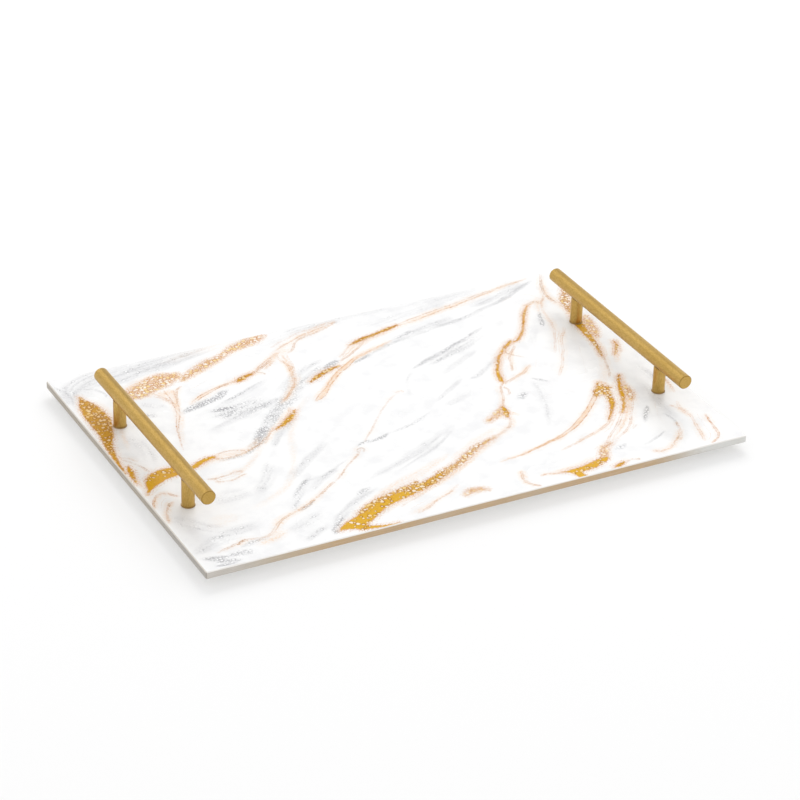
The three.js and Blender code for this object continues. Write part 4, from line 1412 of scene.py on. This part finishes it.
# painted highlight: the arris is coloured near white, and greyer on the left side as painted shade
bright = arris.mix(arris.step(arris_belt, 0.3, 0.7), linear(240, 238, 235), linear(228, 225, 220))
arris_finish = arris.finish(
    Base_Color=arris.mix(on_side, bright, linear(206, 200, 190)),
    Roughness=arris.step(arris_belt, 0.3, 0.7, 0.15, 0.3),
)
print("arris nodes:", len(arris.tree.nodes))

# %% [markdown]
# Each face now gets one of the three finishes. Its height and the way it faces tell which part of the
# plate it is: the flat top, the bevel round it, or the side and the underside.

# %% Give each face its finish
plate.data.materials.clear()
for finish in (marble_finish, edge_finish, arris_finish):
    plate.data.materials.append(finish)
MARBLE, EDGE, BRIGHT = range(3)
for face in plate.data.polygons:
    face.material_index = EDGE
    if face.center.z > glass_high.z - ARRIS and face.normal.z > 0.2:
        face.material_index = BRIGHT
    if face.center.z > glass_high.z - SLACK and face.normal.z > 0.99:
        face.material_index = MARBLE
smooth(plate)
stand_in(plate, "glass_plate")
print("edge faces:", sum(face.material_index != MARBLE for face in plate.data.polygons))

# %% [markdown]
# ## Handle bars
# Each bar is a solid brass-plated rod with a small bevel at its ends. On a lathe a round part is a
# profile turned about an axis, and Spin does the same here: one point is extruded along the
# profile, from axis to axis, and spun once round.

# %% A lathe
AXES = {"Y": Vector((0, 1, 0)), "Z": Vector((0, 0, 1))}
OUTWARDS = Vector((1, 0, 0))
WELD = 0.002 * MM


def turned(name, profile, place, along="Z", sides=72):
    """A closed round piece: profile points are (radius, distance along the axis), in metres."""
    axis = AXES[along]
    path = [OUTWARDS * radius + axis * at for radius, at in profile]
    deselect()
    bpy.ops.mesh.primitive_plane_add(size=1 * MM, location=Vector(place) + path[0])
    piece = bpy.context.object
    piece.name = name
    settle(piece)
    start_edit(piece)
    bpy.ops.mesh.select_all(action="SELECT")
    bpy.ops.mesh.merge(type="CENTER")
    for last, following in zip(path[:-1], path[1:]):
        bpy.ops.mesh.extrude_region_move(TRANSFORM_OT_translate={"value": following - last})
    bpy.ops.mesh.select_all(action="SELECT")
    bpy.ops.mesh.spin(steps=sides, angle=2 * math.pi, center=place, axis=axis)
    bpy.ops.mesh.select_all(action="SELECT")
    bpy.ops.mesh.remove_doubles(threshold=WELD)
    bpy.ops.mesh.normals_make_consistent(inside=False)
    stop_edit()
    return piece


def rounded(radius, at, rounding, steps, rising):
    """Profile points of a quarter round at a rim. rising: the rim ends a part at its far end."""
    points = []
    for i in range(steps + 1):
        turn_now = i / steps * math.pi / 2
        out, along = math.cos(turn_now), math.sin(turn_now)
        if rising:
            points.append((radius - rounding * (1 - out), at - rounding * (1 - along)))
        else:
            points.append((radius - rounding * (1 - along), at + rounding * (1 - out)))
    return points


print("the lathe turns about", " or ".join(AXES))

# %% [markdown]
# A bar is a length of round stock with its ends faced flat and a narrow bevel on each rim. Two blind
# holes from below take the studs. A few extra rings along the bar keep its faces from being long slivers.

# %% Turn the bars
END_BEVEL = 0.7 * MM
THREAD_HOLE = 2.2 * MM
BAR_HOLE_DEPTH = 6.7 * MM
RINGS = (-0.75, -0.5, -0.25, 0.0, 0.25, 0.5, 0.75)
bars = {}
for side in ("left", "right"):
    low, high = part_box(f"handle_bar_{side}")
    middle = (low + high) / 2
    bar_radius = (high.x - low.x) / 2
    half = (high.y - low.y) / 2
    profile = [(0, -half), (bar_radius / 2, -half)]
    profile += [(bar_radius - END_BEVEL, -half), (bar_radius, END_BEVEL - half)]
    profile += [(bar_radius, share * half) for share in RINGS]
    profile += [(bar_radius, half - END_BEVEL), (bar_radius - END_BEVEL, half)]
    profile += [(bar_radius / 2, half), (0, half)]
    bar = turned(f"bar_{side}", profile, middle, along="Y", sides=96)
    holes = []
    for end in ("rear", "front"):
        mouth = (middle.x, post_places[f"{side}_{end}"].y, middle.z - bar_radius)
        holes.append(rod("hole", mouth, THREAD_HOLE, 2 * BAR_HOLE_DEPTH, sides=24))
    cut(bar, holes)
    smooth(bar)
    bars[side] = bar
    print(bar.name, "radius", round(bar_radius / MM, 2), "length", round(2 * half / MM, 1))

# %% [markdown]
# ## Posts
# A post is a short rod. Its top is cut to the round of the bar, as a fitter would cope a tube, so that the
# two meet without a gap. It is bored through for the stud above and the screw below.

# %% Turn and cope the posts
SEAM = 0.3 * MM
FOOT_ROUNDING = 0.35 * MM
posts = {}
for spot in SPOTS:
    side = spot.split("_")[0]
    bar_low, bar_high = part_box(f"handle_bar_{side}")
    bar_axis = (bar_low.z + bar_high.z) / 2
    foot, radius, _ = stance(f"post_{spot}")
    length = bar_axis - foot.z
    profile = [(0, 0)] + rounded(radius, 0, FOOT_ROUNDING, 3, rising=False)
    profile += [(radius, share * length) for share in (0.25, 0.5, 0.7, 1.0)] + [(0, length)]
    post = turned(f"post_{spot}_turned", profile, foot, sides=64)
    saddle = rod("saddle", (foot.x, foot.y, bar_axis), bar_radius + SEAM, 4 * radius, along="Y", sides=96)
    bore = rod("bore", (foot.x, foot.y, foot.z + length / 2), THREAD_HOLE, 2 * length, sides=24)
    cut(post, [saddle, bore])
    smooth(post)
    posts[spot] = post
print("posts:", len(posts), "radius", round(radius / MM, 2))

# %% [markdown]
# ## Brushed gold
# Brushed metal is smooth metal with a great many fine scratches one way. The scratches here
# are noise stretched along the bar: they change the gloss a little and tip the surface across
# their direction. The colour is a soft, slightly olive gold.

# %% Brushed gold finish
def brushed_gold(name, stretch, rims_at=None):
    """stretch: how finely the scratches vary along X, Y and Z, in turns per metre.
    rims_at: how far from the middle the rims of the rod's two ends are. A painted shade darkens the bevels
    there."""
    gold = Recipe(name)
    hair = gold.noise(gold.coords(scale=stretch), 1.0, detail=4.0, rough=0.75)
    patch = gold.noise(gold.coords(), 35.0, detail=2.0)
    tint = gold.mix(gold.step(hair, 0.35, 0.65), linear(184, 150, 80), linear(206, 172, 102))
    tint = gold.mix(gold.step(patch, 0.3, 0.8, 0, 0.3), tint, linear(176, 140, 62))
    if rims_at:
        # painted shade: the bevels at the bar's ends are tinted darker, as where they turn away from the
        # light
        from_rim = gold.math("SUBTRACT", gold.math("ABSOLUTE", gold.place()[1]), rims_at)
        bevel_painted_shade = gold.step(gold.math("ABSOLUTE", from_rim), 0.5 * END_BEVEL, 0.2 * END_BEVEL, 0, 0.6)
        tint = gold.mix(bevel_painted_shade, tint, linear(132, 98, 44))
    return gold.finish(
        Base_Color=tint,
        Metallic=1.0,
        Roughness=gold.step(hair, 0.25, 0.75, 0.46, 0.34),
        Normal=gold.bump(hair, 0.25, 0.00006),
    )


def wear(piece, finish):
    """Give a whole piece one finish."""
    piece.data.materials.clear()
    piece.data.materials.append(finish)


bar_gold = brushed_gold("brushed_gold_bar", (1700, 380, 1700), rims_at=half - END_BEVEL / 2)
post_gold = brushed_gold("brushed_gold_post", (1700, 1700, 380))
for side, bar in bars.items():
    wear(bar, bar_gold)
    stand_in(bar, f"handle_bar_{side}")
for spot, post in posts.items():
    wear(post, post_gold)
    stand_in(post, f"post_{spot}")
print("gold pieces:", len(bars) + len(posts))

# %% [markdown]
# ## Small parts
# Under each post a vinyl ring keeps the metal off the glass, and a screw comes up from below
# through a shouldered nylon washer. A headless stud joins post and bar. Four soft bumpers carry the tray.
# Each kind is turned once, on the lathe above, and copied to its other three places.

# %% Finishes of the small parts
GRAIN_DEPTH = 0.1 * MM


def plain(name, first, second, scale, rough, metallic=0.0, bump=0.1):
    """A fine mottle between two close colours, with a little grain in the gloss and the surface."""
    made = Recipe(name)
    spots = made.noise(made.coords(), scale, detail=4.0)
    return made.finish(
        Base_Color=made.mix(made.step(spots, 0.3, 0.7), first, second),
        Metallic=metallic,
        Roughness=made.step(spots, 0.3, 0.7, rough - 0.06, rough + 0.06),
        Normal=made.bump(spots, bump, GRAIN_DEPTH),
    )


small_parts = {
    # kind: (slot, finish)
    "gasket": ("gasket", plain("gasket_vinyl", linear(148, 118, 66), linear(172, 140, 84), 900, 0.5)),
    "washer": ("nylon", plain("washer_nylon", linear(228, 226, 218), linear(240, 238, 232), 700, 0.5)),
    "screw": ("zinc_steel", plain(
        "screw_zinc", linear(176, 180, 186), linear(200, 204, 208), 1500, 0.32, metallic=1.0)),
    "bar_stud": ("dark_steel", plain(
        "stud_dark_steel", linear(58, 58, 62), linear(78, 78, 82), 1500, 0.4, metallic=1.0)),
    "foot": ("foot_rubber", plain(
        "foot_rubber", linear(40, 40, 42), linear(54, 54, 56), 1200, 0.8, bump=0.3)),
}
print("small parts:", ", ".join(small_parts))

# %% [markdown]
# The print is sealed with an off-white coat, and that is all one sees of it from below. The CAD sheet is
# already the right shape, a flat layer with four holes, so it stays and only gets this finish.

# %% Backing finish
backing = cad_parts["marble_print"]
backing_finish = plain("print_backing", linear(230, 227, 220), linear(240, 238, 233), 300, 0.6)
for place in backing.material_slots:
    place.material = backing_finish
print("backing slots:", len(backing.material_slots))

# %% [markdown]
# The four sets of small parts are alike. Each kind is made at the left rear post, and a copy with a mesh
# of its own is moved by the distance between the two CAD parts.

# %% Put a piece at all four spots
def spread(piece, kind):
    """Give the piece made at the first spot its finish, and set copies of it at the other spots."""
    slot, finish = small_parts[kind]
    smooth(piece)
    wear(piece, finish)
    start = stance(f"{kind}_{SPOTS[0]}")[0]
    pieces = [piece]
    for spot in SPOTS[1:]:
        take(piece)
        bpy.ops.object.duplicate(linked=False)
        copy = bpy.context.object
        copy.location = stance(f"{kind}_{spot}")[0] - start
        settle(copy)
        pieces.append(copy)
    for spot, made in zip(SPOTS, pieces):
        made.name = f"{kind}_{spot}_turned"
        stand_in(made, f"{kind}_{spot}")
    triangles = sum(len(face.vertices) - 2 for face in piece.data.polygons)
    print(kind, "pieces:", len(pieces), "triangles each:", triangles)


def start_of(kind):
    """The bottom centre, radius and height of a kind's CAD part at the first spot."""
    return stance(f"{kind}_{SPOTS[0]}")


print("first spot:", SPOTS[0])

# %% [markdown]
# A moulded rubber bumper is glued to the underside. It is widest there, narrows towards the table,
# has a well rounded base, and is slightly dished in the middle so that it sits without rocking.

# %% Bumpers
DISH = 0.4 * MM
BASE_SHARE = 0.8
BASE_ROUNDING = 1.5 * MM
TOP_ROUNDING = 0.3 * MM
place, radius, height = start_of("foot")
base = BASE_SHARE * radius
profile = [(0, DISH), (0.35 * base, 0.7 * DISH), (0.6 * base, 0)]
profile += rounded(base, 0, BASE_ROUNDING, 6, rising=False)
profile += [((base + radius) / 2, height / 2)]
profile += rounded(radius, height, TOP_ROUNDING, 2, rising=True) + [(0, height)]
spread(turned("foot", profile, place, sides=64), "foot")

# %% [markdown]
# A soft vinyl ring lies between post and glass, so that metal never touches it. Squeezed, it bulges to a
# round rim. It is a thin tube here: the profile goes up the outside and comes back down the bore.

# %% Gasket rings
RING_BORE = 2.2 * MM
RING_ROUNDING = 0.25 * MM
place, radius, height = start_of("gasket")
profile = [(RING_BORE, 0)] + rounded(radius, 0, RING_ROUNDING, 3, rising=False)
profile += rounded(radius, height, RING_ROUNDING, 3, rising=True)
profile += [(RING_BORE, height), (RING_BORE, 0)]
spread(turned("gasket", profile, place, sides=64), "gasket")

# %% [markdown]
# A shouldered nylon washer does two jobs. Its flange carries the screw's head, and its sleeve lines the
# hole in the glass, so that the steel thread can't bear on the brittle rim.

# %% Shouldered washers
SLEEVE_RADIUS = 3.2 * MM
SLEEVE_BORE = 2.3 * MM
SLEEVE_BEVEL = 0.2 * MM
FLANGE = 1.0 * MM
place, radius, height = start_of("washer")
profile = [(SLEEVE_BORE, 0)] + rounded(radius, 0, SLEEVE_BEVEL, 2, rising=False)
profile += rounded(radius, FLANGE, SLEEVE_BEVEL, 2, rising=True)
profile += [(SLEEVE_RADIUS, FLANGE), (SLEEVE_RADIUS, height - SLEEVE_BEVEL)]
profile += [(SLEEVE_RADIUS - SLEEVE_BEVEL, height), (SLEEVE_BORE, height), (SLEEVE_BORE, 0)]
spread(turned("washer", profile, place, sides=48), "washer")

# %% [markdown]
# A real thread is a helix. At this size the eye can't tell it from a row of rings, and rings can be
# turned on the lathe with the rest of the profile, which leaves a clean closed solid.

# %% Thread grooves
PITCH = 0.7 * MM
GROOVE = 0.25 * MM


def grooves(radius, start, end):
    """Profile points of a thread, drawn as a row of fine rings."""
    count = int((end - start) / PITCH)
    points = []
    for i in range(count):
        at = start + i * PITCH
        points += [(radius, at), (radius - GROOVE, at + PITCH / 2)]
    return points + [(radius, start + count * PITCH)]


print("thread:", round(PITCH / MM, 2), "mm pitch,", round(GROOVE / MM, 2), "mm deep")

# %% [markdown]
# The screw comes up from below. It has a low rounded head with a cross recess, a plain shank where it
# passes the glass, and a thread where it is in the post. The recess is a real cut: two short
# bars, crossed, are taken out of the head.

# %% Screws
SHANK = 2.0 * MM
SHANK_TIP = 0.5 * MM
PLAIN_LENGTH = 6.5 * MM
HEAD_HEIGHT = 2.4 * MM
HEAD_ROUNDING = 1.3 * MM
RECESS = (4.2 * MM, 1.0 * MM, 3.0 * MM)


def bar_tool(place, size):
    """A square bar that cuts one stroke of a cross recess."""
    deselect()
    bpy.ops.mesh.primitive_cube_add(size=1, location=place)
    tool = bpy.context.object
    tool.scale = size
    settle(tool)
    return tool


place, radius, height = start_of("screw")
profile = [(0, 0)] + rounded(radius, 0, HEAD_ROUNDING, 6, rising=False)
profile += [(radius, HEAD_HEIGHT), (SHANK, HEAD_HEIGHT)]
profile += grooves(SHANK, HEAD_HEIGHT + PLAIN_LENGTH, height - SHANK_TIP)
profile += [(SHANK - SHANK_TIP, height), (0, height)]
screw = turned("screw", profile, place, sides=48)
across_way, deep = RECESS[1::-1], RECESS[2:]
cut(screw, [bar_tool(place, RECESS), bar_tool(place, across_way + deep)])
spread(screw, "screw")

# %% [markdown]
# A headless stud holds each post to its bar. It is threaded all along and has a hexagon socket in its
# lower end, so it can be driven through the post's bore with a key. The socket is cut with a rod
# of six sides.

# %% Studs
STUD_TIP = 0.4 * MM
SOCKET_RADIUS = 1.15 * MM
SOCKET_DEPTH = 2.0 * MM
place, radius, height = start_of("bar_stud")
profile = [(0, 0), (radius - STUD_TIP, 0)] + grooves(radius, STUD_TIP, height - STUD_TIP)
profile += [(radius - STUD_TIP, height), (0, height)]
stud = turned("bar_stud", profile, place, sides=32)
cut(stud, [rod("socket", place, SOCKET_RADIUS, 2 * SOCKET_DEPTH, sides=6)])
spread(stud, "bar_stud")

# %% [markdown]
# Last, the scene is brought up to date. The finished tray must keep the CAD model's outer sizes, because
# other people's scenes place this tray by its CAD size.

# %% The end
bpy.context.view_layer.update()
